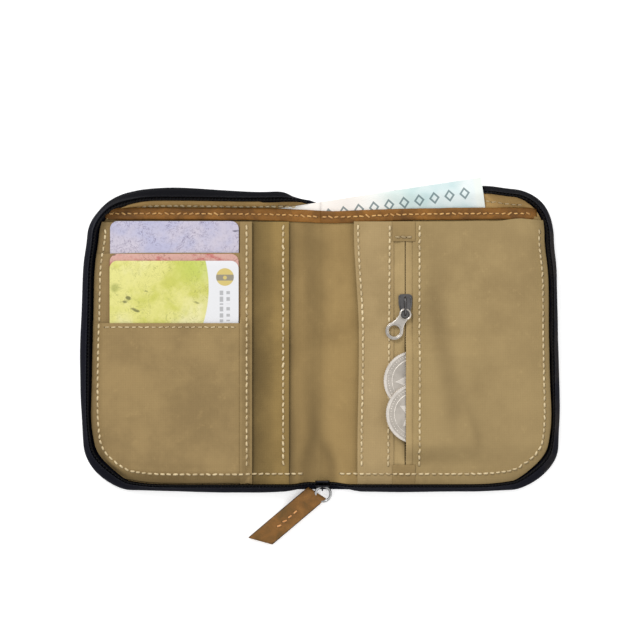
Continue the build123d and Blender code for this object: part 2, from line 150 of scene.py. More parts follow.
class Nodes:
    """A material's node tree, with short calls for what this scene uses."""

    def __init__(self, name):
        self.material = bpy.data.materials.new(name)
        self.material.use_nodes = True
        self.tree = self.material.node_tree
        self.tree.nodes.clear()
        self.out = self.tree.nodes.new("ShaderNodeOutputMaterial")
        self.shader = self.tree.nodes.new("ShaderNodeBsdfPrincipled")
        self.link(self.shader.outputs["BSDF"], self.out.inputs["Surface"])
        self.place = self.tree.nodes.new("ShaderNodeTexCoord").outputs["Object"]

    def link(self, a, b):
        self.tree.links.new(a, b)

    def set(self, socket, value):
        if hasattr(value, "is_linked"):
            self.link(value, socket)
        else:
            socket.default_value = value

    def node(self, kind, inputs=None, **settings):
        made = self.tree.nodes.new(kind)
        for key, value in settings.items():
            setattr(made, key, value)
        for key, value in (inputs or {}).items():
            self.set(made.inputs[key], value)
        return made

    def math(self, operation, a, b=0.0, c=0.0):
        return self.node("ShaderNodeMath", {0: a, 1: b, 2: c}, operation=operation).outputs[0]

    def times(self, a, b):
        return self.math("MULTIPLY", a, b)

    def minus(self, a, b):
        return self.math("SUBTRACT", a, b)

    def rest(self, mask):
        """1 less a mask."""
        return self.math("SUBTRACT", 1.0, mask)

    def scaled(self, x, y, z, turn=0.0):
        """Object coordinates scaled per axis and turned about Z."""
        return self.node("ShaderNodeMapping", {"Vector": self.place, "Scale": (x, y, z),
                                               "Rotation": (0, 0, turn)}).outputs[0]

    def noise(self, scale, detail=3.0, rough=0.55, vector=None, distortion=0.0):
        return self.node("ShaderNodeTexNoise",
                         {"Vector": vector or self.place, "Scale": scale, "Detail": detail,
                          "Roughness": rough, "Distortion": distortion}).outputs["Fac"]

    def wave(self, scale, vector=None, direction="X", distortion=0.0, detail=0.0):
        return self.node("ShaderNodeTexWave",
                         {"Vector": vector or self.place, "Scale": scale,
                          "Distortion": distortion, "Detail": detail, "Detail Scale": 2.0},
                         wave_type="BANDS", bands_direction=direction).outputs["Fac"]

    def cells(self, scale, vector=None, feature="F1"):
        return self.node("ShaderNodeTexVoronoi", {"Vector": vector or self.place,
                                                  "Scale": scale},
                         feature=feature).outputs["Distance"]

    def ramp(self, factor, *stops):
        made = self.node("ShaderNodeValToRGB", {"Fac": factor})
        points = made.color_ramp.elements
        while len(points) < len(stops):
            points.new(0.5)
        for point, (at, colour) in zip(points, stops):
            point.position = at
            point.color = (*colour, 1.0) if len(colour) == 3 else colour
        return made.outputs["Color"]

    def step(self, value, low, high):
        return self.node("ShaderNodeMapRange",
                         {"Value": value, "From Min": low, "From Max": high},
                         interpolation_type="SMOOTHSTEP").outputs["Result"]

    def mix(self, factor, a, b, blend="MIX"):
        made = self.node("ShaderNodeMix", data_type="RGBA", blend_type=blend)
        self.set(made.inputs[0], factor)
        self.set(made.inputs[6], a if hasattr(a, "is_linked") else (*a, 1.0))
        self.set(made.inputs[7], b if hasattr(b, "is_linked") else (*b, 1.0))
        return made.outputs[2]

    def bump(self, height, strength, distance, normal=None):
        inputs = {"Height": height, "Strength": strength, "Distance": distance}
        if normal:
            inputs["Normal"] = normal
        return self.node("ShaderNodeBump", inputs).outputs["Normal"]

    def axes(self):
        split = self.node("ShaderNodeSeparateXYZ", {0: self.place})
        return split.outputs[0], split.outputs[1], split.outputs[2]

    def finish(self, colour, roughness, normal=None, **values):
        self.set(self.shader.inputs["Base Color"],
                 colour if hasattr(colour, "is_linked") else (*colour, 1.0))
        self.set(self.shader.inputs["Roughness"], roughness)
        if normal:
            self.link(normal, self.shader.inputs["Normal"])
        for key, value in values.items():
            self.shader.inputs[key.replace("_", " ")].default_value = value
        return self.material


def light_shade_ramp(n, tones):
    """Painted light and shade: a grey factor that follows (X, tone) stops across the wallet, tones
    up to 1.25.
    """
    x, _, _ = n.axes()
    low, high = tones[0][0], tones[-1][0]
    wander = n.math("MULTIPLY_ADD", n.noise(26.0, 2.0, 0.5), 0.0050, -0.0025)
    along = n.node("ShaderNodeMapRange", {"Value": n.math("ADD", x, wander),
                                          "From Min": low * MM, "From Max": high * MM}).outputs[0]
    stops = [((at - low) / (high - low), (tone / 1.25,) * 3) for at, tone in tones]
    return n.ramp(along, *stops)


def crease_mask(n, y_from, y_to, x_from, x_to, width):
    """1 along a soft line that leans from x_from to x_to as Y goes from y_from to y_to."""
    x, y, _ = n.axes()
    t = n.step(y, y_from * MM, y_to * MM)
    line = n.math("MULTIPLY_ADD", t, (x_to - x_from) * MM, x_from * MM)
    off = n.math("DIVIDE", n.minus(x, line), width * MM)
    return n.math("EXPONENT", n.times(n.times(off, off), -1.0))


def spine_crease_shade(n, base):
    """Painted shade in the creases that part on their way to the main slider."""
    _, y, _ = n.axes()
    low = n.rest(n.step(y, -38 * MM, -12 * MM))
    near = n.rest(n.step(y, -50 * MM, -36 * MM))
    left = n.times(crease_mask(n, -37, -55, -2.9, -6.6, 3.0), low)
    right = n.times(crease_mask(n, -33, -54, -2.4, 4.5, 2.5), near)
    upper = n.times(crease_mask(n, 45, 5, -6.0, -3.5, 3.0), n.step(y, 0.0, 20 * MM))
    for mask, strength in ((left, 0.34), (right, 0.32), (upper, 0.13)):
        base = n.mix(n.times(mask, strength), base, (0.045, 0.026, 0.008))
    return base


def coin_panel_creases(n, base):
    """Soft shade in the folds of the coin panel."""
    _, y, _ = n.axes()
    along = n.times(n.step(y, -46 * MM, -26 * MM),
                   n.rest(n.step(y, 12 * MM, 34 * MM)))
    valley = n.times(crease_mask(n, 30, -32, 47.2, 55.2, 4.4), along)
    low = n.times(n.step(y, -50 * MM, -40 * MM),
                 n.rest(n.step(y, -24 * MM, -14 * MM)))
    fold = n.times(crease_mask(n, -16, -46, 58.2, 67.0, 2.6), low)
    base = n.mix(n.times(valley, 0.26), base, (0.060, 0.036, 0.012))
    return n.mix(n.times(fold, 0.11), base, (0.060, 0.036, 0.012))


def canvas(name, light, dark, thread_turn=0.0, wear=0.35, tones=None, marks=None):
    """Waxed cotton canvas: a plain weave, mottled wax, rubbed lighter patches."""
    n = Nodes(name)
    weave = n.scaled(1, 1, 1, thread_turn)
    warp = n.wave(430.0, weave, "X", 0.6, 1.0)
    weft = n.wave(430.0, weave, "Y", 0.6, 1.0)
    cloth = n.math("MAXIMUM", warp, weft)
    slub = n.noise(900.0, 2.0, 0.6, n.scaled(1.0, 0.18, 1.0, thread_turn))
    patches = n.noise(55.0, 6.0, 0.62)
    clouds = n.noise(14.0, 3.0, 0.5)
    base = n.mix(n.step(patches, 0.32, 0.68), dark, light)
    base = n.mix(n.step(clouds, 0.35, 0.7), base, n.mix(0.5, base, light))
    rubbed = n.step(n.noise(210.0, 5.0, 0.7), 0.56, 0.74)
    base = n.mix(n.times(rubbed, wear), base, tuple(min(1, c * 1.32) for c in light))
    base = n.mix(n.times(n.rest(cloth), 0.20), base,
                 tuple(c * 0.55 for c in dark))
    base = n.mix(n.times(slub, 0.16), base, tuple(min(1, c * 1.2) for c in light))
    # Painted light and shade across the cloth, stop by stop along X.
    if tones:
        bright = n.mix(1.0, base, (1.25, 1.25, 1.25), "MULTIPLY")
        base = n.mix(1.0, bright, light_shade_ramp(n, tones), "MULTIPLY")
    # marks paints shade into the cloth's creases and folds.
    if marks:
        base = marks(n, base)
    rough = n.math("MULTIPLY_ADD", patches, 0.25, 0.66)
    normal = n.bump(cloth, 0.35, 0.00009)
    normal = n.bump(slub, 0.30, 0.00010, normal)
    normal = n.bump(patches, 0.30, 0.00035, normal)
    return n.finish(base, rough, normal, Specular_IOR_Level=0.22)


def navy_cloth(name, colour, lint, grain=520.0, band_shade_light_and_dust=False):
    """Dense navy cloth with a fine diagonal twill and a little lint."""
    n = Nodes(name)
    twill = n.wave(grain, n.scaled(1, 1, 1, math.radians(45)), "X", 0.5, 1.0)
    fleck = n.step(n.noise(1500.0, 3.0, 0.7), 0.60, 0.80)
    worn = n.noise(60.0, 5.0, 0.6)
    base = n.mix(n.step(worn, 0.35, 0.75), colour, lint)
    base = n.mix(n.times(fleck, 0.35), base, tuple(c * 2.2 for c in lint))
    if band_shade_light_and_dust:
        x, y, _ = n.axes()
        # Painted shade: the upper run of the band is darkened against the light that falls on it.
        base = n.mix(n.times(n.step(y, 52 * MM, 58 * MM), 0.75), base,
                     (0.0008, 0.0008, 0.0016))
        # The right end is lightened in patches: painted light, with some dusty lint.
        dust_and_light = n.times(n.step(x, 91 * MM, 98 * MM), n.step(worn, 0.38, 0.62))
        base = n.mix(n.times(dust_and_light, 0.80), base, (0.022, 0.018, 0.015))
    rough = n.math("MULTIPLY_ADD", worn, 0.25, 0.60)
    normal = n.bump(twill, 0.45, 0.00010)
    normal = n.bump(worn, 0.25, 0.0004, normal)
    return n.finish(base, rough, normal, Specular_IOR_Level=0.10)


def leather(name, light, mid, dark):
    """Oiled vegetable-tanned leather: pores, creases and darker handling marks."""
    n = Nodes(name)
    pores = n.cells(1500.0, feature="DISTANCE_TO_EDGE")
    grain = n.step(pores, 0.0, 0.16)
    clouds = n.noise(130.0, 5.0, 0.6, distortion=0.6)
    scuffs = n.step(n.noise(420.0, 4.0, 0.72, n.scaled(0.35, 1.0, 1.0, 0.6)), 0.58, 0.78)
    base = n.ramp(clouds, (0.28, dark), (0.50, mid), (0.74, light))
    base = n.mix(n.times(scuffs, 0.35), base, light)
    base = n.mix(n.times(n.rest(grain), 0.30), base, dark)
    rough = n.math("MULTIPLY_ADD", clouds, 0.30, 0.36)
    normal = n.bump(grain, 0.35, 0.00010)
    normal = n.bump(clouds, 0.35, 0.0003, normal)
    return n.finish(base, rough, normal, Specular_IOR_Level=0.22)


def thread(name, light, dark):
    """Twisted sewing thread, a little soiled."""
    n = Nodes(name)
    ply = n.wave(900.0, n.scaled(1, 1, 1, math.radians(35)), "X", 0.2)
    soil = n.noise(160.0, 4.0, 0.6)
    base = n.mix(n.step(soil, 0.3, 0.7), light, dark)
    return n.finish(base, 0.62, n.bump(ply, 0.5, 0.00008), Sheen_Weight=0.2)


def metal(name, colour, rough=0.24, brushed=0.12, scale=380.0, dull=0.62):
    """Plated metal with fine handling scratches and slight tarnish."""
    n = Nodes(name)
    scratch = n.noise(scale, 5.0, 0.7, n.scaled(1.0, 0.08, 1.0, 0.5))
    tarnish = n.noise(240.0, 4.0, 0.6)
    base = n.mix(n.step(tarnish, 0.35, 0.75), colour, tuple(c * dull for c in colour))
    roughness = n.math("MULTIPLY_ADD", scratch, brushed, rough)
    return n.finish(base, roughness, n.bump(scratch, 0.15, 0.00005), Metallic=1.0)


def nylon(name, colour):
    """Moulded nylon zip coil, faintly streaked."""
    n = Nodes(name)
    streak = n.noise(700.0, 3.0, 0.6)
    base = n.mix(n.step(streak, 0.3, 0.7), colour, tuple(min(1, c * 1.6) for c in colour))
    return n.finish(base, n.math("MULTIPLY_ADD", streak, 0.2, 0.34),
                    n.bump(streak, 0.2, 0.00005), Specular_IOR_Level=0.15)


def card_face(name, base, tint, pattern=None):
    """Laminated card: an even print with a faint fleck, satin gloss, small scratches."""
    n = Nodes(name)
    fleck = n.noise(1300.0, 2.0, 0.6)
    clouds = n.noise(20.0, 2.0, 0.5)
    colour = n.mix(n.step(clouds, 0.3, 0.7), base, tint)
    colour = n.mix(n.times(fleck, 0.06), colour, tuple(c * 0.7 for c in base))
    if pattern:
        colour = pattern(n, colour)
    scratch = n.noise(500.0, 5.0, 0.75, n.scaled(1.0, 0.1, 1.0, 0.9))
    rough = n.math("MULTIPLY_ADD", scratch, 0.18, 0.30)
    return n.finish(colour, rough, n.bump(scratch, 0.06, 0.00004), Coat_Weight=0.15,
                    Coat_Roughness=0.3)


def disc_mask(n, centre, radius, soft=0.00012):
    """1 inside a circle on the XY plane, with a soft edge; sizes in millimetres."""
    x, y, _ = n.axes()
    dx = n.minus(x, centre[0] * MM)
    dy = n.minus(y, centre[1] * MM)
    far = n.math("SQRT", n.math("ADD", n.times(dx, dx), n.times(dy, dy)))
    return n.rest(n.step(far, radius * MM - soft, radius * MM + soft))


def band_mask(n, value, low, high, soft=0.00010):
    """1 where a coordinate lies between low and high millimetres."""
    rise = n.step(value, low * MM - soft, low * MM + soft)
    fall = n.step(value, high * MM - soft, high * MM + soft)
    return n.minus(rise, fall)


# ---- Builders --------------------------------------------------------------------------


def side_reach(y, reach, low, high, corner):
    """Far edge, measured from the spine, of a half outline with two rounded corners."""
    into = np.maximum(np.maximum(low + corner - y, y - (high - corner)), 0.0)
    return reach - corner + np.sqrt(np.maximum(corner ** 2 - into ** 2, 0.0))


def seam_distance(x, y, reach=None, low=None, high=None, corner=None):
    """How far inside the sewn outline a point lies."""
    reach, low = reach or LINING_REACH, low or LINING_LOW
    high, corner = high or LINING_HIGH, corner or LINING_CORNER
    middle, half = (low + high) / 2, (high - low) / 2
    qx = np.abs(x) - (reach - corner)
    qy = np.abs(y - middle) - (half - corner)
    outside = np.hypot(np.maximum(qx, 0), np.maximum(qy, 0))
    return corner - outside - np.minimum(np.maximum(qx, qy), 0)


# The corners as sewn: x, y and how far each is drawn in
SOFT_CORNERS = ((-92.0, 54.5, 2.9), (97.0, 45.5, 2.6), (89.5, -56.5, 3.0), (-90.0, -56.5, 3.3))


def soften(x, y):
    """How the sewn outline leaves its drawn shape: corners drawn in, sides a little full.

    Returns the moved x and y.
    """
    dx, dy = np.zeros_like(x, float), np.zeros_like(y, float)
    for cx, cy, deep in SOFT_CORNERS:
        pull = deep * bump(np.hypot(x - cx, y - cy) / 13.0) * math.sqrt(0.5)
        dx -= math.copysign(1, cx) * pull
        dy -= math.copysign(1, cy) * pull
    inside = seam_distance(x, y)
    rim = 0.45 * (1 - ease(inside / 4.0))
    hug = bump((inside - 0.2) / 2.2)
    far_side = ease((np.abs(x) - 82) / 10)
    side_hug = np.where(x < 0, 0.75 * bump((y + 34) / 12), 0.50 + 0.85 * bump((y + 33) / 13))
    end_hug = np.where(y < 0, 0.85 * ease((np.abs(x) - 5) / 8),
                       np.where(x < 0, -1.0 * ease((-8 - x) / 12), 0.5))
    dx += np.sign(x) * (rim + side_hug * hug) * far_side
    dy += np.sign(y) * (rim + end_hug * hug) * (1 - far_side) * ease((np.abs(y) - 48) / 8)
    dx -= 0.85 * bump((y + 16) / 27) * ease((-70 - x) / 22)
    dx += 0.25 * bump((y + 22) / 20) * ease((x - 70) / 22)
    dx += 0.9 * bump((y - 42) / 9.5) * ease((-80 - x) / 10)
    dy -= (0.9 * bump((x + 84) / 6.5) + 0.45 * bump((x + 30) / 20)) * ease((y - 48) / 8)
    dy += 1.5 * bump((x - 68) / 9) * ease((y - 48) / 8)
    sewn = 0.36 + 0.34 * ease((x + 9) / 6)
    dy -= top_droop(x) * ease((y - 53) / 5.5) * (sewn + (1 - sewn) * ease((y - 59.9) / 2.2))
    return x + dx, y + dy


def top_droop(x):
    """How far the upper edge sinks where the wallet folds."""
    return (3.4 * ease((x + 19) / 14) + 1.6 * ease((x + 6) / 6)) * (1 - ease((x - 8) / 24))


def spread(low, high, step, fine=(0.0, 0.08, 0.22, 0.45)):
    """Coordinates from low to high, closer together at both ends."""
    count = max(2, int((high - low - 2) / step))
    middle = np.linspace(low + 1.0, high - 1.0, count)
    return np.concatenate([low + np.array(fine), middle, high - np.array(fine)[::-1]])


def cloth_sheet(name, material, near, far, low, high, top, thickness, step=1.3, roll=0.3,
                outline=None, edge=None, lean=None):
    """A closed sheet between x = near and x = far.

    top(x, y) is its upper surface; roll rounds its cut or folded edges. outline is
    (reach, low, high, corner) of the rounded half that it is cut to. edge(x, y) moves
    points in Y and lean(x, y) in X, for edges that aren't quite straight.
    """
    sign = 1.0 if abs(far) > abs(near) and far > 0 or near >= 0 and far > 0 else -1.0
    reach, o_low, o_high, o_corner = outline or (LINING_REACH, LINING_LOW, LINING_HIGH,
                                                 LINING_CORNER)
    near_x, far_x = abs(near), abs(far)
    if near * far < 0:
        near_x = -abs(near)
    ys = spread(low, high, step)
    for bound in (o_low, o_high):
        if low - 0.01 <= bound <= high + 0.01 and far_x > reach - o_corner:
            turn = np.linspace(0, np.pi / 2, 12)
            inward = o_corner * (1 - np.cos(turn))
            ys = np.concatenate([ys, bound + inward if bound < 0 else bound - inward])
    ys = np.unique(np.round(ys, 3))
    us = spread(0.0, far_x - near_x, step) / (far_x - near_x)
    limit = np.minimum(far_x, side_reach(ys, reach, o_low, o_high, o_corner))
    span = limit - near_x
    grid_x = near_x + us[:, None] * span[None, :]
    grid_y = np.repeat(ys[None, :], len(us), axis=0)
    ends = np.minimum(us, 1 - us)[:, None] * span[None, :]
    sides = np.minimum(grid_y - low, high - grid_y)
    cut = side_reach(grid_y, reach, o_low, o_high, o_corner) - grid_x
    if near_x < 0.01:
        ends = (1 - us)[:, None] * span[None, :]
    near_edge = np.minimum(np.minimum(ends, sides), cut)
    x, y = sign * grid_x, grid_y.copy()
    inside = np.clip(near_edge, 0, roll)
    drop = roll - np.sqrt(np.maximum(roll ** 2 - (roll - inside) ** 2, 0))
    drop = drop * min(1.0, thickness / (2 * roll))
    height = top(x, y)
    if edge is not None:
        y = y + edge(x, y)
    if lean is not None:
        x = x + lean(x, y)
    x, y = soften(x, y)
    upper = np.stack([x, y, height - drop], -1).reshape(-1, 3)
    lower = np.stack([x, y, height - thickness + drop], -1).reshape(-1, 3)
    m, n = len(us), len(ys)
    index = np.arange(m * n).reshape(m, n)
    i0, i1 = index[:-1, :-1].ravel(), index[1:, :-1].ravel()
    i2, i3 = index[1:, 1:].ravel(), index[:-1, 1:].ravel()
    if sign < 0:
        i1, i3 = i3, i1
    faces = [*zip(i0, i1, i2, i3), *zip(i0 + m * n, i3 + m * n, i2 + m * n, i1 + m * n)]
    ring = np.concatenate([index[:, 0], index[-1, 1:], index[-2::-1, -1], index[0, -2:0:-1]])
    if sign < 0:
        ring = ring[::-1]
    after = np.roll(ring, -1)
    walls = len(faces) + np.flatnonzero((ring < n) & (after < n))
    faces += [*zip(ring + m * n, after + m * n, after, ring)]
    return new_object(name, np.concatenate([upper, lower]), faces, material,
                      keep_normals=True, flat=walls if near_x < 0.01 else ())


def panel(name, body, node, *shape, **details):
    """A khaki canvas sheet on a body, in place of a CAD node if one is named."""
    place(cloth_sheet(name, *shape, **details), body, "khaki_canvas", *([node] if node else []))


def tube(points, radius, sides=8, flat=1.0, closed=False):
    """Points and faces of a tube along a line of points; flat squeezes it in Z."""
    points = np.asarray(points, float)
    ahead = np.roll(points, -1, 0) - np.roll(points, 1, 0) if closed else np.gradient(points,
                                                                                     axis=0)
    ahead /= np.maximum(np.linalg.norm(ahead, axis=1, keepdims=True), 1e-9)
    up = np.tile([0.0, 0.0, 1.0], (len(points), 1))
    up[np.abs(ahead[:, 2]) > 0.95] = (1.0, 0.0, 0.0)
    across = np.cross(ahead, up)
    across /= np.maximum(np.linalg.norm(across, axis=1, keepdims=True), 1e-9)
    up = np.cross(across, ahead)
    radius = np.broadcast_to(np.asarray(radius, float), (len(points),))
    turn = np.arange(sides) * 2 * np.pi / sides
    ring = (across[:, None] * np.cos(turn)[None, :, None]
            + up[:, None] * np.sin(turn)[None, :, None] * flat)
    verts = (points[:, None] + ring * radius[:, None, None]).reshape(-1, 3)
    faces = []
    rows = len(points) if closed else len(points) - 1
    for i in range(rows):
        a, b = i * sides, (i + 1) % len(points) * sides
        faces += [(a + k, a + (k + 1) % sides, b + (k + 1) % sides, b + k)
                  for k in range(sides)]
    if not closed:
        faces += [tuple(range(sides))[::-1],
                  tuple(range((len(points) - 1) * sides, len(points) * sides))]
    return verts, faces


def joined(parts):
    """One list of points and faces from several."""
    verts, faces, base = [], [], 0
    for part_verts, part_faces in parts:
        verts.append(np.asarray(part_verts))
        faces += [tuple(int(i) + base for i in face) for face in part_faces]
        base += len(part_verts)
    return np.concatenate(verts), faces


def stitches(name, route, body, slot, material, pitch=2.75, length=2.0, radius=0.44,
             wobble=0.13, seed=1, holes=None):
    """A run of sewn stitches on route(t) -> (x, y, z), t in millimetres along the seam.

    route is (function, start, end). Each stitch is a bead of thread that dips into its
    holes; holes is the material of the shadowed needle holes between stitches.
    """
    place_on, start, end = route
    rng = np.random.default_rng(seed)
    count = int(abs(end - start) / pitch)
    way = 1 if end > start else -1
    threads, pits = [], []
    for k in range(count):
        centre = start + way * (k + 0.5) * pitch + rng.normal(0, 0.06)
        size = length * rng.uniform(0.9, 1.06)
        t = centre + np.linspace(-0.5, 0.5, 7) * size * way
        line = np.array([place_on(v) for v in t])
        lean = rng.normal(0, wobble)
        side = np.cross(line[-1] - line[0], (0, 0, 1))
        side /= max(np.linalg.norm(side), 1e-9)
        arch = np.array([-0.22, 0.10, 0.20, 0.23, 0.20, 0.10, -0.22])
        line[:, 2] += arch * (radius / 0.27)
        line += side * (np.linspace(-1, 1, 7) * lean)[:, None]
        thick = radius * np.array([0.72, 0.95, 1.0, 1.02, 1.0, 0.95, 0.72]) \
            * rng.uniform(0.92, 1.08)
        threads.append(tube(line, thick, 6, 0.85))
        if holes:
            for end_point in (line[0], line[-1]):
                spot = np.array([end_point[0], end_point[1],
                                 float(place_on(centre)[2]) + 0.015])
                turn = np.arange(8) * np.pi / 4
                rim = spot + np.stack([np.cos(turn) * 0.24, np.sin(turn) * 0.24,
                                       np.full(8, -0.03)], -1)
                floor = spot + np.array([0, 0, 0.02])
                under = spot - np.array([0, 0, 0.10])
                pits.append((np.vstack([rim, floor, under]),
                             [(i, (i + 1) % 8, 8) for i in range(8)]
                             + [((i + 1) % 8, i, 9) for i in range(8)]))
    run = new_object(name, *joined(threads), material)
    place(run, body, slot)
    if pits:
        needle = new_object(name + "_holes", *joined(pits), holes, smooth=False)
        place(needle, body, slot)
    return run


def zip_line(sign, top_start, low_start, step):
    """Places (x, y) and outward directions along the zip's line round one half."""
    corner, reach, half = ZIP_CORNER, ZIP_REACH, ZIP_HALF
    upper, lower = reach - corner - top_start, reach - corner - low_start
    arc, side = corner * np.pi / 2, 2 * (half - corner)
    stops = np.cumsum([upper, arc, side, arc, lower])
    rows = []
    for d in np.linspace(0, stops[-1], int(stops[-1] / step)):
        if d <= stops[0]:
            rows.append((top_start + d, half, 0, 1))
        elif d <= stops[1]:
            a = np.pi / 2 - (d - stops[0]) / corner
            rows.append((reach - corner + corner * np.cos(a),
                         half - corner + corner * np.sin(a), np.cos(a), np.sin(a)))
        elif d <= stops[2]:
            rows.append((reach, half - corner - (d - stops[1]), 1, 0))
        elif d <= stops[3]:
            a = -(d - stops[2]) / corner
            rows.append((reach - corner + corner * np.cos(a),
                         -half + corner + corner * np.sin(a), np.cos(a), np.sin(a)))
        else:
            rows.append((reach - corner - (d - stops[3]), -half, 0, -1))
    x, y, nx, ny = np.array(rows).T
    return sign * x, y, sign * nx, ny


def lathe(profile, centre, turns=64):
    """Points and faces of a closed profile of (radius, z) turned about a vertical axis."""
    profile = np.asarray(profile, float)
    turn = np.arange(turns) * 2 * np.pi / turns
    verts = np.stack([centre[0] + profile[:, 0][:, None] * np.cos(turn),
                      centre[1] + profile[:, 0][:, None] * np.sin(turn),
                      np.repeat(profile[:, 1][:, None], turns, 1)], -1).reshape(-1, 3)
    faces = []
    for i in range(len(profile) - 1):
        a, b = i * turns, (i + 1) * turns
        faces += [(a + k, a + (k + 1) % turns, b + (k + 1) % turns, b + k)
                  for k in range(turns)]
    faces += [tuple(range(turns))[::-1],
              tuple(range((len(profile) - 1) * turns, len(profile) * turns))]
    return verts, faces


def slab(outline, base, top, edge=0.12, holes=()):
    """A flat solid with rounded edges from an (x, y) outline, through bmesh.

    holes are outlines inside it. Returns points and faces.
    """
    shape = bmesh.new()
    loops = []
    for line in (outline, *holes):
        loop = [shape.verts.new((px, py, base)) for px, py in line]
        loops.append([shape.edges.new((loop[i], loop[(i + 1) % len(loop)]))
                      for i in range(len(loop))])
    made = bmesh.ops.triangle_fill(shape, use_beauty=True,
                                   edges=[e for loop in loops for e in loop])
    floor = [g for g in made["geom"] if isinstance(g, bmesh.types.BMFace)]
    lifted = bmesh.ops.extrude_face_region(shape, geom=floor)
    moved = [g for g in lifted["geom"] if isinstance(g, bmesh.types.BMVert)]
    bmesh.ops.translate(shape, verts=moved, vec=(0, 0, top - base))
    bmesh.ops.recalc_face_normals(shape, faces=shape.faces)
    if edge:
        rims = [e for e in shape.edges
                if len(e.link_faces) == 2 and e.calc_face_angle(0) > 0.9]
        bmesh.ops.bevel(shape, geom=rims, offset=edge, segments=3, profile=0.5,
                        affect="EDGES", clamp_overlap=True)
    verts = np.array([v.co for v in shape.verts])
    shape.verts.index_update()
    faces = [tuple(v.index for v in f.verts) for f in shape.faces]
    shape.free()
    return verts, faces


def rounded_rect(cx, cy, width, height, radius, steps=8):
    """Outline points of a rounded rectangle."""
    points = []
    for k, (sx, sy) in enumerate(((1, 1), (-1, 1), (-1, -1), (1, -1))):
        for a in np.linspace(0, np.pi / 2, steps):
            angle = a + k * np.pi / 2
            points.append((cx + (sx * (width / 2 - radius) + radius * math.cos(angle)),
                           cy + (sy * (height / 2 - radius) + radius * math.sin(angle))))
    return points


# ---- The materials of this wallet ------------------------------------------------------

# Painted light and shade on the lining across the wallet: shade beside the edges of the panels
# over it, light on the spine's slack: (X, tone)
SLIP_LIGHT_SHADE = ((-29.0, 0.50), (-27.0, 0.66), (-24.5, 0.76), (-21.5, 0.90), (-19.2, 1.10),
              (-16.5, 1.16), (-14.0, 1.05))
SPINE_LIGHT_SHADE = ((-14.0, 0.60), (-12.6, 0.78), (-10.8, 1.02), (-8.5, 1.08), (-5.5, 0.98),
               (-3.0, 0.93), (0.0, 0.98), (3.0, 1.12), (6.0, 1.22), (9.5, 1.24), (14.0, 1.18))

CREAM = (0.72, 0.58, 0.34)
CANVAS_LIGHT = (0.295, 0.204, 0.088)
CANVAS_DARK = (0.216, 0.147, 0.062)
mat_panel = canvas("canvas_panel", CANVAS_LIGHT, CANVAS_DARK)
# The slip panel's canvas is darker: partly its own colour, partly painted shade beside the card
# panel's hem.
mat_slip = canvas("canvas_slip", (0.245, 0.163, 0.056), (0.172, 0.112, 0.036), 0.02, 0.25,
                  SLIP_LIGHT_SHADE)
mat_spine = canvas("canvas_spine", (0.256, 0.172, 0.067), (0.198, 0.130, 0.048), 0.0, 0.22,
                   SPINE_LIGHT_SHADE, spine_crease_shade)
mat_strip = canvas("canvas_strip", (0.358, 0.256, 0.122), (0.278, 0.195, 0.088), -0.02)
mat_coin_panel = canvas("canvas_coin_panel", (0.330, 0.236, 0.106), (0.255, 0.178, 0.077), 0.01,
                        marks=coin_panel_creases)
# The lining's khaki is lightened to offset the shade in its trough beside the zip band: painted
# light over its own colour.
mat_lining = canvas("canvas_lining", (0.460, 0.292, 0.110), (0.335, 0.208, 0.075), 0.03)
mat_coin_back = canvas("canvas_coin_back", (0.200, 0.135, 0.060), (0.120, 0.080, 0.034))
mat_board = card_face("board_fibre", (0.23, 0.17, 0.11), (0.30, 0.23, 0.15))
mat_cover = navy_cloth("navy_cover", (0.0022, 0.0030, 0.0080), (0.006, 0.0065, 0.013))
mat_band = navy_cloth("navy_zip_tape", (0.0018, 0.0022, 0.0066), (0.005, 0.005, 0.010), 900.0,
                      band_shade_light_and_dust=True)
mat_coil = nylon("zip_coil_black", (0.0015, 0.0015, 0.0022))
mat_trim = leather("leather_trim", (0.300, 0.128, 0.022), (0.186, 0.078, 0.012),
                   (0.100, 0.042, 0.008))
mat_tag = leather("leather_tag", (0.300, 0.138, 0.034), (0.196, 0.088, 0.020),
                  (0.100, 0.056, 0.014))
mat_tag_edge = leather("leather_cut_edge", (0.060, 0.028, 0.014), (0.040, 0.020, 0.012),
                       (0.022, 0.012, 0.008))
mat_thread = thread("thread_cream", CREAM, (0.44, 0.33, 0.17))
mat_thread_khaki = thread("thread_khaki", (0.400, 0.300, 0.150), (0.280, 0.200, 0.095))
mat_thread_orange = thread("thread_orange", (0.74, 0.36, 0.12), (0.50, 0.20, 0.05))
mat_thread_gold = thread("thread_gold", (0.66, 0.38, 0.12), (0.42, 0.20, 0.05))
mat_hole = navy_cloth("needle_hole", (0.030, 0.020, 0.010), (0.045, 0.030, 0.015))
mat_zip_cloth = canvas("coin_zip_tape_cloth", (0.390, 0.280, 0.130), (0.300, 0.212, 0.094))
mat_coin_coil = nylon("coin_coil_khaki", (0.200, 0.145, 0.072))
mat_silver = metal("tab_metal", (0.56, 0.52, 0.47), 0.24)
mat_gun = metal("slider_metal", (0.135, 0.13, 0.13), 0.24)
mat_nickel = metal("ring_metal", (0.46, 0.46, 0.46), 0.20)
mat_black_metal = metal("black_slider_metal", (0.030, 0.030, 0.036), 0.34)
mat_coin = metal("coin_metal", (0.52, 0.475, 0.42), 0.34, 0.22, 900.0, 0.80)
mat_coin_relief = metal("coin_relief_metal", (0.80, 0.74, 0.67), 0.26, 0.22, 900.0, 0.80)

# ---- Heights of the sewn stack ---------------------------------------------------------

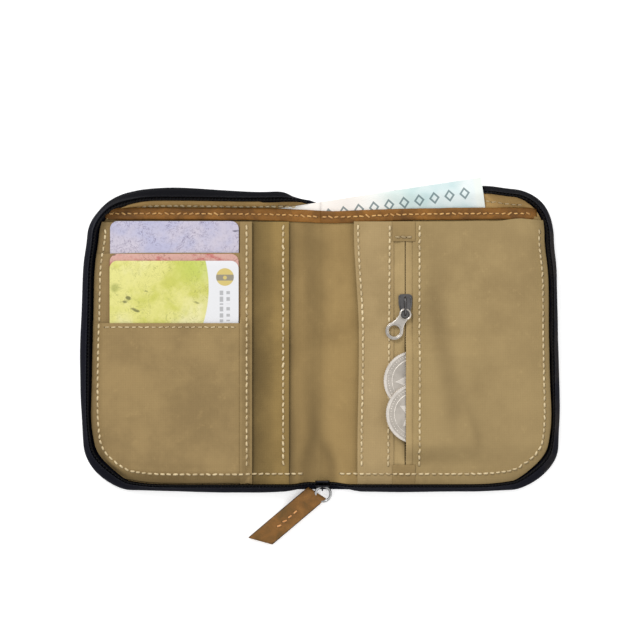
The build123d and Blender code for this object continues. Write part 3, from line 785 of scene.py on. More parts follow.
SEAM_Z = 4.15            # where the panels meet at the sewn edge
CANVAS_THICK = 0.42      # a panel with its turned-in edges
LINING_THICK = 0.30
TURNED_ROLL = 0.22       # how far a turned edge is rounded
LINING_Z = node_box("bill_lining_right")[1][2]
INNER_Z = node_box("inner_panel_right")[1][2]
SLIP_Z = node_box("slip_pocket_panel")[1][2]
BACKING_Z = node_box("card_backing_panel")[1][2]
SLOT_UPPER_Z = node_box("card_slot_upper")[1][2]
SLOT_LOWER_Z = node_box("card_slot_lower")[1][2]
COIN_FLAT_Z = node_box("coin_panel_left")[1][2]
COIN_RAISED_Z = node_box("coin_panel_right")[1][2]
COIN_BACK_Z = node_box("coin_pocket_back")[1][2]


def banked(level, x, y, width=7.0, order=0.0):
    """A panel's height: at its own level inside, rising or falling to the sewn edge."""
    inside = seam_distance(x, y)
    edge_z = SEAM_Z + order
    return edge_z + (level - edge_z) * ease(inside / width)


def lining_top(x, y):
    """The bill lining: flat behind the note, rising to the zip band all round."""
    inside = seam_distance(x, y)
    pressed = ease((x + 27) / 9) * (1 - ease((x - 64) / 6)) * ease((y - 40) / 8)
    pressed = np.maximum(pressed, ease((18 - np.abs(x)) / 6) * ease((-40 - y) / 8))
    z = LINING_Z + (3.6 - LINING_Z) * (1 - ease(inside / 3.4)) * (1 - pressed)
    return z + 0.10 * ripple(x, y, 9.0, 3) * ease(inside / 4) - 0.15 * pressed


def valley_left(y):
    """X of the crease on the left of the spine's middle ridge."""
    return -2.9 - 3.7 * ease((-37 - y) / 18)


def valley_right(y):
    """X of the crease on its right, which parts from the other one near the zip."""
    return -2.4 + 6.9 * ease((-33 - y) / 21)


def fan(x, y):
    """Creases of the spine lining that part on their way to the main slider."""
    left, right = valley_left(y), valley_right(y)
    deep = ease((-8 - y) / 26)
    near = ease((-36 - y) / 14)
    wave = -0.75 * bump((x - left) / (3.4 - 1.2 * near))
    wave -= 0.65 * bump((x - right) / (3.0 - 1.0 * near)) * near
    wave += 0.55 * bump((x - (left + right) / 2) / 2.4) * near
    wave += 0.45 * bump((x - right - 4.6) / 3.0) + 0.35 * bump((x - left + 5.0) / 3.0)
    return wave * deep


def spine_rise(x, y):
    """The slack of the lining across the spine."""
    hump = 0.55 * bump((x + 3.5) / 4.2) + 0.45 * bump((x - 5.8) / 3.0)
    dip = -0.25 * bump((x - 1.6) / 1.6)
    return (hump + dip) * (0.72 + 0.28 * np.sin(y / 17.0)) * ease((y + 58) / 12)


def inner_top(x, y):
    """The inner panel, with slack at the spine and a lip towards the slider."""
    inside = seam_distance(x, y)
    edge_z = SEAM_Z - 0.25
    bank = 1 - ease(inside / 6.0)
    bank = np.where(np.abs(x) < 60, 1 - ease((y - LINING_LOW) / 6.0), bank)
    z = INNER_Z + (edge_z - INNER_Z) * bank * ease((np.abs(x) - 3) / 8)
    z = z + spine_rise(x, y) + 0.85 * fan(x, y)
    z = z + 0.10 * ripple(x, y, 7.0, 5) * bump(x / 16)
    return z + 0.25 * bump((y + 56.4) / 2.6) * bump(x / 7.5)


def trim_line(x):
    """Centre of the leather edge, which sags where the wallet folds."""
    return (53.0 + 0.35 * ease(np.abs(x) / 80)
            - 1.15 * bump((x - 4) / np.where(x < 4, 16.0, 24.0)))


# ---- Outer covers and bill lining ------------------------------------------------------


def cover_top(x, y):
    """The outer covers, lying on the table."""
    return 0.9 + 0.05 * ripple(x, y, 12.0, 8)


COVER_OUTLINE = (COVER_REACH, -COVER_HALF, COVER_HALF, 17.4)
for side, body in ((-1, "left_fold"), (1, "right_fold")):
    word = "left" if side < 0 else "right"
    cover = cloth_sheet(f"cover_{word}", mat_cover, 0.0 if side > 0 else -0.0001,
                        side * COVER_REACH, -COVER_HALF, COVER_HALF, cover_top, 0.85, 1.6, 0.4,
                        outline=COVER_OUTLINE)
    place(cover, body, "navy_cloth", f"outer_cover_{word}",
          *(["outer_cover_spine"] if side < 0 else []))
    lining = cloth_sheet(f"bill_lining_{word}_cloth", mat_lining,
                         0.0 if side > 0 else -0.0001, side * LINING_REACH, LINING_LOW + 0.4,
                         LINING_HIGH, lining_top, LINING_THICK, 1.5, 0.15)
    place(lining, body, "khaki_canvas", f"bill_lining_{word}",
          *(["bill_lining_spine"] if side < 0 else []))

# ---- Inner panel and its leather edge --------------------------------------------------

for side, body in ((-1, "left_fold"), (1, "right_fold")):
    word = "left" if side < 0 else "right"
    inner = cloth_sheet(f"inner_panel_{word}_cloth", mat_spine, 0.0 if side > 0 else -0.0001,
                        side * LINING_REACH, LINING_LOW, node_box("inner_panel_left")[1][1],
                        inner_top, CANVAS_THICK, 1.0, 0.2,
                        edge=lambda x, y: (trim_line(x) - 53.2) * ease((y - 20) / 33))
    place(inner, body, "khaki_canvas", f"inner_panel_{word}",
          *(["inner_panel_spine"] if side < 0 else []))

TRIM_REACH = 90.6


def trim_strip(name, x_low, x_high):
    """The leather folded over the panel's edge: a soft-cornered band with a turned top."""
    xs = np.linspace(x_low, x_high, int(abs(x_high - x_low) / 0.7) + 2)
    section = [(-2.55, 0.35), (-2.46, 0.62), (-2.2, 0.76), (-1.5, 0.82), (-0.5, 0.76),
               (0.0, 0.70), (0.5, 0.76), (1.5, 0.86), (2.1, 0.82), (2.45, 0.58), (2.58, 0.2),
               (2.45, -0.18), (2.1, -0.36), (1.2, -0.40), (-2.2, -0.36), (-2.5, -0.1)]
    verts = []
    for x in xs:
        centre = float(trim_line(x)) + 0.10 * float(ripple(x, 3.0, 6.0, 21))
        base = float(inner_top(np.array(x), np.array(47.0)))
        base = min(base, 3.6) + 0.05 * float(ripple(x, 9.0, 5.0, 22))
        wide = 1 + 0.035 * float(ripple(x, 0.0, 8.0, 23))
        end = 1.0
        if abs(x) > TRIM_REACH - 0.8:
            end = 0.82
        for dy, dz in section:
            verts.append((x, centre + dy * wide * end, base + dz * end))
    n = len(section)
    faces = []
    for i in range(len(xs) - 1):
        faces += [(i * n + k, i * n + (k + 1) % n, (i + 1) * n + (k + 1) % n, (i + 1) * n + k)
                  for k in range(n)]
    faces += [tuple(range(n)), tuple(range((len(xs) - 1) * n, len(xs) * n))]
    return new_object(name, verts, faces, mat_trim)


def trim_top(x, offset=0.0):
    """A place on the leather edge, offset across it."""
    return (x, float(trim_line(x)) + offset,
            min(float(inner_top(np.array(x), np.array(47.0))), 3.6) + 0.80)


place(trim_strip("leather_edge_left", -TRIM_REACH, 0.0), "left_fold", "tan_leather",
      "leather_trim_left", "leather_trim_spine")
place(trim_strip("leather_edge_right", 0.0, TRIM_REACH), "right_fold", "tan_leather",
      "leather_trim_right")
stitches("trim_stitches_left", (trim_top, -89.6, -0.1), "left_fold", "tan_leather",
         mat_thread_gold, pitch=2.6, length=1.9, radius=0.34, wobble=0.3, seed=31, holes=mat_hole)
stitches("trim_stitches_right", (trim_top, 0.1, 89.8), "right_fold", "tan_leather",
         mat_thread_gold, pitch=2.6, length=1.9, radius=0.34, wobble=0.3, seed=32, holes=mat_hole)

# ---- Card pocket: slip panel, backing, slots and cards ---------------------------------


def under_trim(x, y):
    """How far a panel's top edge reaches up under the leather near the corners."""
    return 1.9 * ease((np.abs(x) - 72) / 14) * ease((y - 42) / 8)


def slip_top(x, y):
    """The slip pocket's panel, with its turned edge."""
    z = banked(SLIP_Z, x, y, 7.5, 0.05)
    hem = ease((x - (SLIP_EDGE - 4.8)) / 0.5) * 0.16
    sag = 0.30 * bump((y + 12) / 34) * ease((x + 32) / 16)
    return z + hem + sag + 0.10 * ripple(x, y, 8.0, 41)


def backing_top(x, y):
    """The card pocket's backing, with its turned edge."""
    z = banked(BACKING_Z, x, y, 8.0, 0.22)
    hem = ease((x - (CARD_EDGE - 4.8)) / 0.5) * 0.20
    return z + hem + 0.08 * ripple(x, y, 9.0, 42)


HEM_WIDTH = 5.1          # the turned edge of the card panel, sewn over the slots' ends


def slot_rise(x, y, level, order):
    """A card slot's height: flat, and down to the backing at its end."""
    z = banked(level, x, y, 4.6 - 2.6 * bump(np.hypot(x + 91, y + 56) / 9.0), order)
    near = ease((CARD_EDGE - 1.8 - x) / 3.2)
    z = BACKING_Z + order + 0.30 + (z - BACKING_Z - order - 0.30) * near
    return z


def slot_upper_top(x, y):
    """The upper slot, with its hem."""
    hem = 0.16 * ease((y - (SLOT_UPPER_TOP - 3.2)) / 0.5)
    return slot_rise(x, y, SLOT_UPPER_Z, 0.42) + hem + 0.07 * ripple(x, y, 8.0, 43)


def card_print(x, y):
    """Cards show faintly through the waxed canvas over them."""
    inside = np.minimum(np.minimum(x + 88.5, -34.5 - x), 33.4 - y)
    inside = np.minimum(inside, y + 52.2)
    return 0.34 * ease((inside + 1.4) / 2.0)


def slot_lower_top(x, y):
    """The lower slot, with its hem and the cards' relief."""
    hem = 0.18 * ease((y - (SLOT_LOWER_TOP - 3.2)) / 0.5)
    return (slot_rise(x, y, SLOT_LOWER_Z, 0.62) + hem + card_print(x, y) + 0.02
            + 0.06 * (1 + ripple(x, y, 11.0, 44)))


def hem_top(x, y):
    """The turned edge: over whichever slot lies under it, falling to the backing."""
    edge = np.full_like(y, CARD_EDGE - HEM_WIDTH - 0.2, dtype=float)
    left = banked(BACKING_Z + 0.70, edge, y, 7.0, 0.55)
    left = left + (slot_upper_top(edge, y) - left) * ease((SLOT_UPPER_TOP + 3 - y) / 3)
    left = left + (slot_lower_top(edge, y) - left) * ease((SLOT_LOWER_TOP + 3 - y) / 3)
    right = banked(BACKING_Z + 0.75, x, y, 7.0, 0.75)
    z = right + (left + 0.34 - right) * ease((CARD_EDGE - 0.8 - x) / 3.6)
    return z + 0.05 * ripple(x, y, 7.0, 46)


panel("slip_pocket_cloth", "left_half", "slip_pocket_panel", mat_slip, SLIP_EDGE,
      -LINING_REACH, LINING_LOW, POCKET_TOP, slip_top, 0.40, 1.0, TURNED_ROLL, edge=under_trim)
panel("card_backing_cloth", "left_half", "card_backing_panel", mat_panel, CARD_EDGE,
      -LINING_REACH, LINING_LOW, POCKET_TOP, backing_top, CANVAS_THICK, 1.1, TURNED_ROLL,
      edge=under_trim)
panel("card_slot_upper_cloth", "left_half", "card_slot_upper", mat_panel, CARD_EDGE - 0.6,
      -LINING_REACH, LINING_LOW + 0.3, SLOT_UPPER_TOP, slot_upper_top, 0.40, 1.1, TURNED_ROLL)
panel("card_slot_lower_cloth", "left_half", "card_slot_lower", mat_panel, CARD_EDGE - 1.0,
      -LINING_REACH, LINING_LOW + 0.5, SLOT_LOWER_TOP, slot_lower_top, 0.40, 0.9, TURNED_ROLL)
panel("card_edge_hem_cloth", "left_half", None, mat_panel, CARD_EDGE, CARD_EDGE - HEM_WIDTH,
      LINING_LOW + 0.2, POCKET_TOP, hem_top, CANVAS_THICK, 0.8, 0.20)

EMBLEM = (-40.2, 26.6)   # centre of the yellow card's plain disc


def grunge(n, colour, dark, seed, amount=0.6, fine=0.30):
    """A worn print: cloudy tint, fine scribbles and a few dark flecks."""
    shifted = n.node("ShaderNodeMapping", {"Vector": n.place,
                                           "Location": (seed, seed, 0)}).outputs[0]
    scribble = n.noise(230.0, 3.0, 0.6, shifted, 2.2)
    line = n.math("ABSOLUTE", n.minus(scribble, 0.5))
    vein = n.rest(n.step(line, 0.006, 0.024))
    patch = n.step(n.noise(120.0, 3.0, 0.6, shifted), 0.40, 0.58)
    colour = n.mix(n.times(n.times(vein, patch), amount), colour, dark)
    grain = n.step(n.noise(900.0, 4.0, 0.75, shifted), 0.46, 0.72)
    colour = n.mix(n.times(grain, fine), colour, dark)
    fleck = n.step(n.noise(210.0, 2.0, 0.5, n.scaled(0.45, 1.0, 1.0)), 0.68, 0.73)
    return n.mix(n.times(fleck, 0.85), colour, tuple(c * 0.45 for c in dark))


def bar_column(n, colour, x_low, x_high, rows):
    """Plain grey bars stacked along Y."""
    x, y, _ = n.axes()
    column = band_mask(n, x, x_low, x_high, 0.00016)
    for low, high in rows:
        bar = n.times(column, band_mask(n, y, low, high, 0.00016))
        colour = n.mix(n.times(bar, 0.55), colour, (0.16, 0.16, 0.16))
    return colour


def yellow_print(n, colour):
    """Green-yellow wash, a white end with a curved boundary, a disc and plain bars."""
    x, y, _ = n.axes()
    cloud = n.noise(70.0, 5.0, 0.62)
    colour = n.mix(n.step(cloud, 0.42, 0.62), colour, (0.500, 0.500, 0.090))
    colour = n.mix(n.step(n.noise(45.0, 4.0, 0.6, n.scaled(1.0, 0.7, 1.0)), 0.50, 0.68), colour,
                   (0.690, 0.650, 0.330))
    green = n.times(n.step(x, -66 * MM, -52 * MM), n.step(y, 20 * MM, 31 * MM))
    colour = n.mix(n.times(green, 0.55), colour, (0.420, 0.520, 0.080))
    stain = disc_mask(n, (-86.3, 22.0), 1.7, 0.0009)
    colour = n.mix(n.times(stain, 0.6), colour, (0.240, 0.270, 0.040))
    colour = grunge(n, colour, (0.230, 0.240, 0.050), 0.13, 0.50, 0.16)
    curve = disc_mask(n, (-96.0, 22.0), 49.0, 0.0002)
    colour = n.mix(curve, (0.670, 0.670, 0.685), colour)
    colour = n.mix(disc_mask(n, EMBLEM, 3.7), colour, (0.560, 0.440, 0.140))
    belt = n.times(disc_mask(n, EMBLEM, 3.7),
                   band_mask(n, y, EMBLEM[1] - 1.5, EMBLEM[1] + 1.0))
    colour = n.mix(n.times(belt, 0.75), colour, (0.150, 0.150, 0.170))
    colour = n.mix(disc_mask(n, (EMBLEM[0], EMBLEM[1] - 0.25), 0.8), colour, (0.560, 0.440, 0.140))
    rows = ((19.0, 20.9), (16.2, 18.4), (14.9, 15.6), (12.2, 14.2), (9.6, 11.4), (7.7, 8.9))
    colour = bar_column(n, colour, -42.4, -40.9, rows)
    return bar_column(n, colour, -39.6, -38.1, tuple((a + 0.4, b - 0.2) for a, b in rows))


def pink_print(n, colour):
    """Red blotches on a pale pink ground."""
    blot = n.step(n.noise(150.0, 4.0, 0.65, n.scaled(0.6, 1.0, 1.0)), 0.47, 0.60)
    colour = n.mix(n.times(blot, 0.90), colour, (0.420, 0.085, 0.080))
    return grunge(n, colour, (0.120, 0.020, 0.020), 0.31, 0.55, 0.20)


def lavender_print(n, colour):
    """Blue-violet clouds under a worn, scribbled print."""
    cloud = n.step(n.noise(60.0, 5.0, 0.6), 0.40, 0.66)
    colour = n.mix(n.times(cloud, 0.6), colour, (0.350, 0.370, 0.560))
    return grunge(n, colour, (0.110, 0.085, 0.170), 0.57, 0.70, 0.26)


CARD_CORNER = 3.18       # corner radius of an ID-1 card
for word, base, tint, pattern in (
        ("lavender", (0.490, 0.450, 0.530), (0.520, 0.480, 0.560), lavender_print),
        ("pink", (0.520, 0.280, 0.230), (0.560, 0.320, 0.270), pink_print),
        ("yellow", (0.620, 0.590, 0.165), (0.650, 0.620, 0.210), yellow_print)):
    low, high = node_box(f"card_{word}")
    outline = rounded_rect((low[0] + high[0]) / 2, (low[1] + high[1]) / 2, high[0] - low[0],
                           high[1] - low[1], CARD_CORNER, 10)
    piece = new_object(f"card_{word}_plate", *slab(outline, low[2], high[2], 0.10),
                       card_face(f"{word}_print", base, tint, pattern))
    place(piece, f"card_{word}", f"{word}_card", f"card_{word}")

# ---- Coin pocket -----------------------------------------------------------------------

COIN_LOW, COIN_HIGH = -53.0, 3.0        # where the panel starts to rise over the coins


def coin_swell(x, y):
    """The lift of the coin panel over the coins, 0 to 1."""
    along = ease((COIN_HIGH - y) / 10.0) * ease((y - COIN_LOW) / 10.6)
    across = 1 - 0.80 * ease((x - 53.5) / 26.0)
    return along * across


def coin_crease(x, y):
    """The valley where the panel slackens past the coins, and the fold that leaves it."""
    valley_x = 47.5 + 8.0 * ease((30 - y) / 62)
    reach = ease((34 - y) / 18) * ease((y + 46) / 16)
    z = -0.75 * bump((x - valley_x) / 3.6) * reach + 0.45 * bump((x - valley_x - 6) / 4.0) * reach
    fold_x = 58.5 + 8.5 * ease((-18 - y) / 26)
    fold = ease((-14 - y) / 8) * ease((y + 50) / 8)
    return z + fold * (0.35 * bump((x - fold_x + 2.4) / 2.6) - 0.32 * bump((x - fold_x) / 2.2))


def coin_panel_top(x, y):
    """The large coin panel, lifted by the coins and creased beside them."""
    z = banked(COIN_FLAT_Z, x, y, 8.0, 0.15)
    swell = (COIN_RAISED_Z - COIN_FLAT_Z) * coin_swell(x, y)
    hem = 0.18 * (1 - ease((x - (COIN_PANEL_EDGE + 4.4)) / 0.6))
    pocket = 0.45 * bump((x - 72) / 13) * bump((y - 8) / 26)
    z = z + swell + hem + pocket + coin_crease(x, y)
    return z + 0.14 * ripple(x, y, 11.0, 51) * ease(seam_distance(x, y) / 6)


def coin_strip_top(x, y):
    """The narrow coin panel, turned in at both edges."""
    z = banked(COIN_FLAT_Z, x, y, 7.0, 0.1)
    hem = 0.16 * (1 - ease((x - (STRIP_NEAR + 3.6)) / 0.5))
    fold = 0.16 * ease((x - (STRIP_EDGE - 4.0)) / 0.5)
    return z - 0.14 + hem + fold + 0.05 * ripple(x, y, 9.0, 52)


def coin_back_top(x, y):
    """The coin pocket's back."""
    return banked(COIN_BACK_Z, x, y, 6.0, -0.3)


def strip_run(y):
    """How far the strip's near edge wanders from straight."""
    return 0.3 - 2.1 * ease((y - 2) / 46) - 0.6 * ease((-y - 5) / 40)


def strip_lean(x, y):
    """The strip's near edge follows that run, and its far edge stays."""
    return (1 - ease((x - STRIP_NEAR) / 8)) * strip_run(y)


panel("coin_pocket_back_cloth", "right_half", "coin_pocket_back", mat_coin_back,
      STRIP_NEAR + 0.8, LINING_REACH, LINING_LOW, POCKET_TOP - 0.2, coin_back_top,
      LINING_THICK, 1.8, 0.15, edge=under_trim)
panel("coin_panel_left_cloth", "right_half", "coin_panel_left", mat_strip, STRIP_NEAR,
      STRIP_EDGE, LINING_LOW, POCKET_TOP, coin_strip_top, CANVAS_THICK, 0.9, TURNED_ROLL,
      lean=strip_lean)
panel("coin_panel_right_cloth", "right_half", "coin_panel_right", mat_coin_panel,
      COIN_PANEL_EDGE, LINING_REACH, LINING_LOW, POCKET_TOP, coin_panel_top, CANVAS_THICK,
      0.8, 0.24, edge=under_trim)

ZIP_LOW_Y, ZIP_HIGH_Y = node_box("coin_zip_coil_left")[0][1], node_box("coin_zip_coil_left")[1][1]
TAPE_LOW, TAPE_HIGH = ZIP_LOW_Y - 1.2, ZIP_HIGH_Y + 1.2


def right_lift(y):
    """How far the zip's right side is lifted by the coins."""
    return (COIN_RAISED_Z - COIN_FLAT_Z) * coin_swell(np.asarray(COIN_PANEL_EDGE),
                                                      np.asarray(y))


def over_coil(x):
    """The tape's rise over the coil on its underside."""
    return 0.46 * (1 - ease((np.abs(x - COIN_ZIP_X) - 1.7) / 0.8))


TAPE_Z = 4.32            # top of the tapes beside the coil


def tape_left_top(x, y):
    """The left tape lies flat."""
    return TAPE_Z + over_coil(x) + 0.03 * ripple(x, y, 5.0, 53)


def tape_right_top(x, y):
    """The right tape is lifted with the panel that the coins push up."""
    return TAPE_Z + over_coil(x) + right_lift(y) + 0.03 * ripple(x, y, 5.0, 54)


for word, near, far, top in (("left", 26.0, 35.22, tape_left_top),
                             ("right", 35.58, 42.0, tape_right_top)):
    tape = cloth_sheet(f"coin_zip_tape_{word}_cloth", mat_zip_cloth, near, far, TAPE_LOW,
                       TAPE_HIGH, top, 0.22, 0.7, 0.10)
    place(tape, "right_half", "coin_zip_cloth", f"coin_zip_tape_{word}")

COIL_PITCH = 1.05
for side, word in ((-1, "left"), (1, "right")):
    lines = []
    turns = int((ZIP_HIGH_Y - ZIP_LOW_Y - 1.0) / COIL_PITCH)
    for k in range(turns):
        y0 = ZIP_LOW_Y + 0.5 + (k + (0.5 if side > 0 else 0.0)) * COIL_PITCH
        z0 = 4.16 + (float(right_lift(y0)) if side > 0 else 0.0)
        t = np.linspace(-0.15, 1.15, 9) * np.pi
        near = COIN_ZIP_X + side * 0.18
        xs = near + side * (1 - np.sin(np.clip(t, 0, np.pi)))
        lines.append(tube(np.stack([xs, y0 + 0.34 * np.cos(t), z0 + 0.16 * np.sin(t)], -1),
                          0.26, 6, 0.9))
    coil = new_object(f"coin_zip_teeth_{word}", *joined(lines), mat_coin_coil)
    place(coil, "right_half", "coin_zip_coil", f"coin_zip_coil_{word}")

# ---- Coins -----------------------------------------------------------------------------


def coin_piece(name, seed):
    """A struck coin: raised rim, bead circle, a plain star and a reeded edge."""
    low, high = node_box(name)
    cx, cy = (low[0] + high[0]) / 2, (low[1] + high[1]) / 2
    radius, base, top = (high[0] - low[0]) / 2, low[2], high[2]
    profile = [(0.6, base + 0.14), (radius - 1.35, base + 0.14), (radius - 1.15, base + 0.02),
               (radius - 0.25, base), (radius, base + 0.22), (radius, top - 0.22),
               (radius - 0.25, top), (radius - 1.15, top - 0.02), (radius - 1.35, top - 0.14),
               (0.6, top - 0.14)]
    body, faces = lathe(profile, (cx, cy), 144)
    around = np.arctan2(body[:, 1] - cy, body[:, 0] - cx)
    rim = np.hypot(body[:, 0] - cx, body[:, 1] - cy) > radius - 0.05
    reed = 1 - 0.007 * (np.round(around / (2 * np.pi) * 144) % 2) * rim
    body[:, 0] = cx + (body[:, 0] - cx) * reed
    body[:, 1] = cy + (body[:, 1] - cy) * reed
    parts = [(body, faces)]
    floor = top - 0.16
    for k in range(60):
        a = k * 2 * np.pi / 60
        parts.append(lathe([(0.02, floor), (0.22, floor), (0.17, floor + 0.09),
                            (0.04, floor + 0.13)],
                           (cx + 10.35 * math.cos(a), cy + 10.35 * math.sin(a)), 8))
    turn = seed * 0.7
    star = [(cx + r * math.cos(turn + k * math.pi / 5), cy + r * math.sin(turn + k * math.pi / 5))
            for k in range(10) for r in (3.6 if k % 2 else 7.6,)]
    parts.append(slab(star, floor, floor + 0.13, 0.05))
    ring = [(cx + 8.9 * math.cos(a), cy + 8.9 * math.sin(a), floor + 0.04)
            for a in np.linspace(0, 2 * np.pi, 73)[:-1]]
    parts.append(tube(ring, 0.16, 8, 0.6, closed=True))
    piece = new_object(name + "_struck", *joined(parts), mat_coin, smooth=False)
    piece.data.materials.append(mat_coin_relief)
    for face in piece.data.polygons:
        off = math.hypot(face.center[0] / MM - cx, face.center[1] / MM - cy)
        face.material_index = int(face.index >= len(faces) or off > radius - 1.3)
    return place(piece, name, "coin_metal", name)


coin_piece("coin_upper", 1)
coin_piece("coin_lower", 2)

# ---- Coin slider and its pull tab ------------------------------------------------------

LOW, HIGH = node_box("coin_slider")
SLIDER_MID = (LOW[1] + HIGH[1]) / 2


def slider_plate(half, nose, base, top, edge):
    """A zip slider's plate: two shoulders at the open end, a narrower closed end."""
    outline = []
    for t in np.linspace(0, 1, 13):
        outline.append((half * (1 - 0.30 * ease(np.array(t * 1.3 - 0.3))),
                        HIGH[1] - 1.6 - (HIGH[1] - LOW[1] - 2.6) * t))
    tail = [(half * 0.70 * math.cos(a), LOW[1] + 1.0 + 1.0 * math.sin(a))
            for a in np.linspace(0, -np.pi, 9)]
    rise = [(-px, py) for px, py in reversed(outline)]
    crown = [(half * math.cos(a),
              HIGH[1] - 1.6 + (1.6 - nose * (1 - abs(math.cos(a)))) * math.sin(a))
             for a in np.linspace(np.pi, 0, 15)[1:-1]]
    points = [(COIN_ZIP_X + px, py) for px, py in outline + tail[1:-1] + rise + crown]
    return slab(points, base, top, edge)


bridge_line = [(COIN_ZIP_X, 10.75, 5.1), (COIN_ZIP_X, 10.75, 6.3), (COIN_ZIP_X, 10.9, 6.75),
               (COIN_ZIP_X, 11.5, 7.02), (COIN_ZIP_X, 14.0, 7.12), (COIN_ZIP_X, 16.6, 7.02),
               (COIN_ZIP_X, 17.7, 6.7), (COIN_ZIP_X, 18.05, 6.1), (COIN_ZIP_X, 18.1, 5.1)]
post = slab(rounded_rect(COIN_ZIP_X, SLIDER_MID + 1.8, 0.7, 4.4, 0.33, 5), LOW[2] + 0.2,
            LOW[2] + 1.7, 0)
slider_parts = [slider_plate(2.65, 0.5, LOW[2], LOW[2] + 0.42, 0.12),
                slider_plate(2.9, 0.5, 4.75, 5.3, 0.20), tube(bridge_line, 0.46, 10), post]
for s in (-1, 1):
    slider_parts.append(tube([(COIN_ZIP_X + s * (2.35 - 0.55 * ease(np.array((18.6 - y) / 9))),
                               y, 5.30) for y in np.linspace(18.6, 10.6, 9)], 0.16, 6))
coin_slider = new_object("coin_slider_cast", *joined(slider_parts), mat_gun)
place(coin_slider, "coin_slider", "coin_metal", "coin_slider")

SWING = math.radians(31.5)
SMALL_EYE = (35.35, 10.9)
BIG_EYE = (35.0 - 8.1 * math.sin(SWING), 10.9 - 8.1 * math.cos(SWING))
TAB_LOW, TAB_HIGH = node_box("coin_pull_tab")


def ring_points(centre, radius, count, start=0.0, end=2 * math.pi):
    """Places round a circle or along an arc."""
    return [(centre[0] + radius * math.cos(a), centre[1] + radius * math.sin(a))
            for a in np.linspace(start, end, count, endpoint=end - start < 6.28)]


def tab_outline():
    """Figure-of-eight outline: two round ends joined by a waist."""
    axis = np.array([BIG_EYE[0] - SMALL_EYE[0], BIG_EYE[1] - SMALL_EYE[1]])
    span = np.linalg.norm(axis)
    axis /= span
    side = np.array([-axis[1], axis[0]])
    points = []
    small, big, waist = 2.6, 3.75, 1.9
    start_u, end_u = small * 0.574, span - big * 0.5

    def side_line(t):
        """The tab's side from its small end at t = 0 to its big end at t = 1."""
        v = waist + (small * 0.819 - waist) * (1 - t) ** 2.5 + (big * 0.866 - waist) * t ** 2.5
        return start_u + (end_u - start_u) * t, v

    for a in np.linspace(math.radians(125), math.radians(-125), 21):
        points.append((-small * math.cos(a), small * math.sin(a)))
    points += [(u, -v) for u, v in map(side_line, np.linspace(0.08, 0.92, 9))]
    for a in np.linspace(math.radians(-120), math.radians(120), 25):
        points.append((span + big * math.cos(a), big * math.sin(a)))
    points += map(side_line, np.linspace(0.92, 0.08, 9))
    return [(SMALL_EYE[0] + u * axis[0] + v * side[0], SMALL_EYE[1] + u * axis[1] + v * side[1])
            for u, v in points]


tab_parts = [slab(tab_outline(), TAB_LOW[2], TAB_HIGH[2], 0.20,
                  holes=(ring_points(SMALL_EYE, 1.75, 28), ring_points(BIG_EYE, 2.35, 36)))]
for eye, radius in ((SMALL_EYE, 2.15), (BIG_EYE, 3.05)):
    loop = [(px, py, TAB_HIGH[2] - 0.05) for px, py in ring_points(eye, radius, 40)]
    tab_parts.append(tube(loop, 0.26, 6, 0.7, closed=True))
pull_tab = new_object("coin_pull_tab_cast", *joined(tab_parts), mat_silver)
place(pull_tab, "coin_pull_tab", "coin_metal", "coin_pull_tab")

# ---- Coin zip end tabs -----------------------------------------------------------------

for name, seed in (("coin_zip_tab_top", 61), ("coin_zip_tab_bottom", 62)):
    low, high = node_box(name)

    def tab_top(x, y, base=high[2], seed=seed):
        return banked(base + 0.30, x, y, 7.0, 0.5) - 0.05 + 0.08 * ripple(x, y, 4.0, seed)

    panel(name + "_cloth", "right_half", name, mat_panel, low[0], high[0], low[1], high[1],
          tab_top, 0.45, 0.6, TURNED_ROLL)

# ---- Perimeter zip ---------------------------------------------------------------------

BAND_SECTION = [(1.0, 0.88), (2.0, 0.88), (2.7, 0.98), (3.15, 1.30), (3.30, 1.90),
                (3.22, 2.60), (2.95, 3.20), (2.50, 3.80), (1.95, 4.40), (1.45, 5.00),
                (1.12, 5.60), (0.98, 6.30), (0.95, 7.40), (0.95, 8.45), (0.84, 8.72),
                (0.72, 8.40), (0.70, 6.20), (0.55, 5.20), (0.10, 4.20), (-0.35, 3.50),
                (-0.75, 3.12), (-0.75, 2.86), (-0.30, 2.96), (0.90, 3.20), (2.00, 3.00),
                (2.60, 2.20), (2.60, 1.60), (2.20, 1.24), (1.00, 1.16)]
TAIL_TOP, TAIL_LOW = 5.4, 0.1


def tail_scale(x, y):
    """How tall and how wide the band stands: it dwindles towards the spine's two ends."""
    reach = abs(x)
    if y > 0 and x < 0:
        return (0.30 + 0.70 * float(ease((reach - 5.0) / 12)),
                0.16 + 0.84 * float(ease((reach - 5.0) / 11)))
    if y > 0:
        pressed = float(ease((x - 20) / 14) * (1 - 0.85 * (1 - ease((x - 67.5) / 5))))
        return 0.14 + 0.86 * pressed, 0.14 + 0.86 * float(ease((x - 20) / 14))
    shift = 4.0 if x > 0 else 2.0
    return (0.34 + 0.66 * float(ease((reach - shift) / 15)),
            0.12 + 0.88 * float(ease((reach - shift) / 14)))


def band_drift(x, y, nx):
    """How far the soft band leans in or out along its run."""
    lean = 0.12 * float(ripple(x, y, 26.0, 71)) + 0.07 * float(ripple(x, y, 8.0, 72))
    if abs(nx) > 0.7:
        full = 0.7 * bump((y + 2) / 30) if x < 0 else 0.35 * bump((y + 27) / 11) \
            - 0.55 * bump((y - 17) / 20)
    elif y > 0:
        full = 0.9 * bump((x + 64) / 17) - 0.45 * bump((x + 24) / 12) if x < 0 else \
            0.2 * bump((x - 76) / 8)
    else:
        full = 0.55 * bump((x + 34) / 24) if x < 0 else 0.45 * bump((x - 38) / 26)
    return lean + float(full)


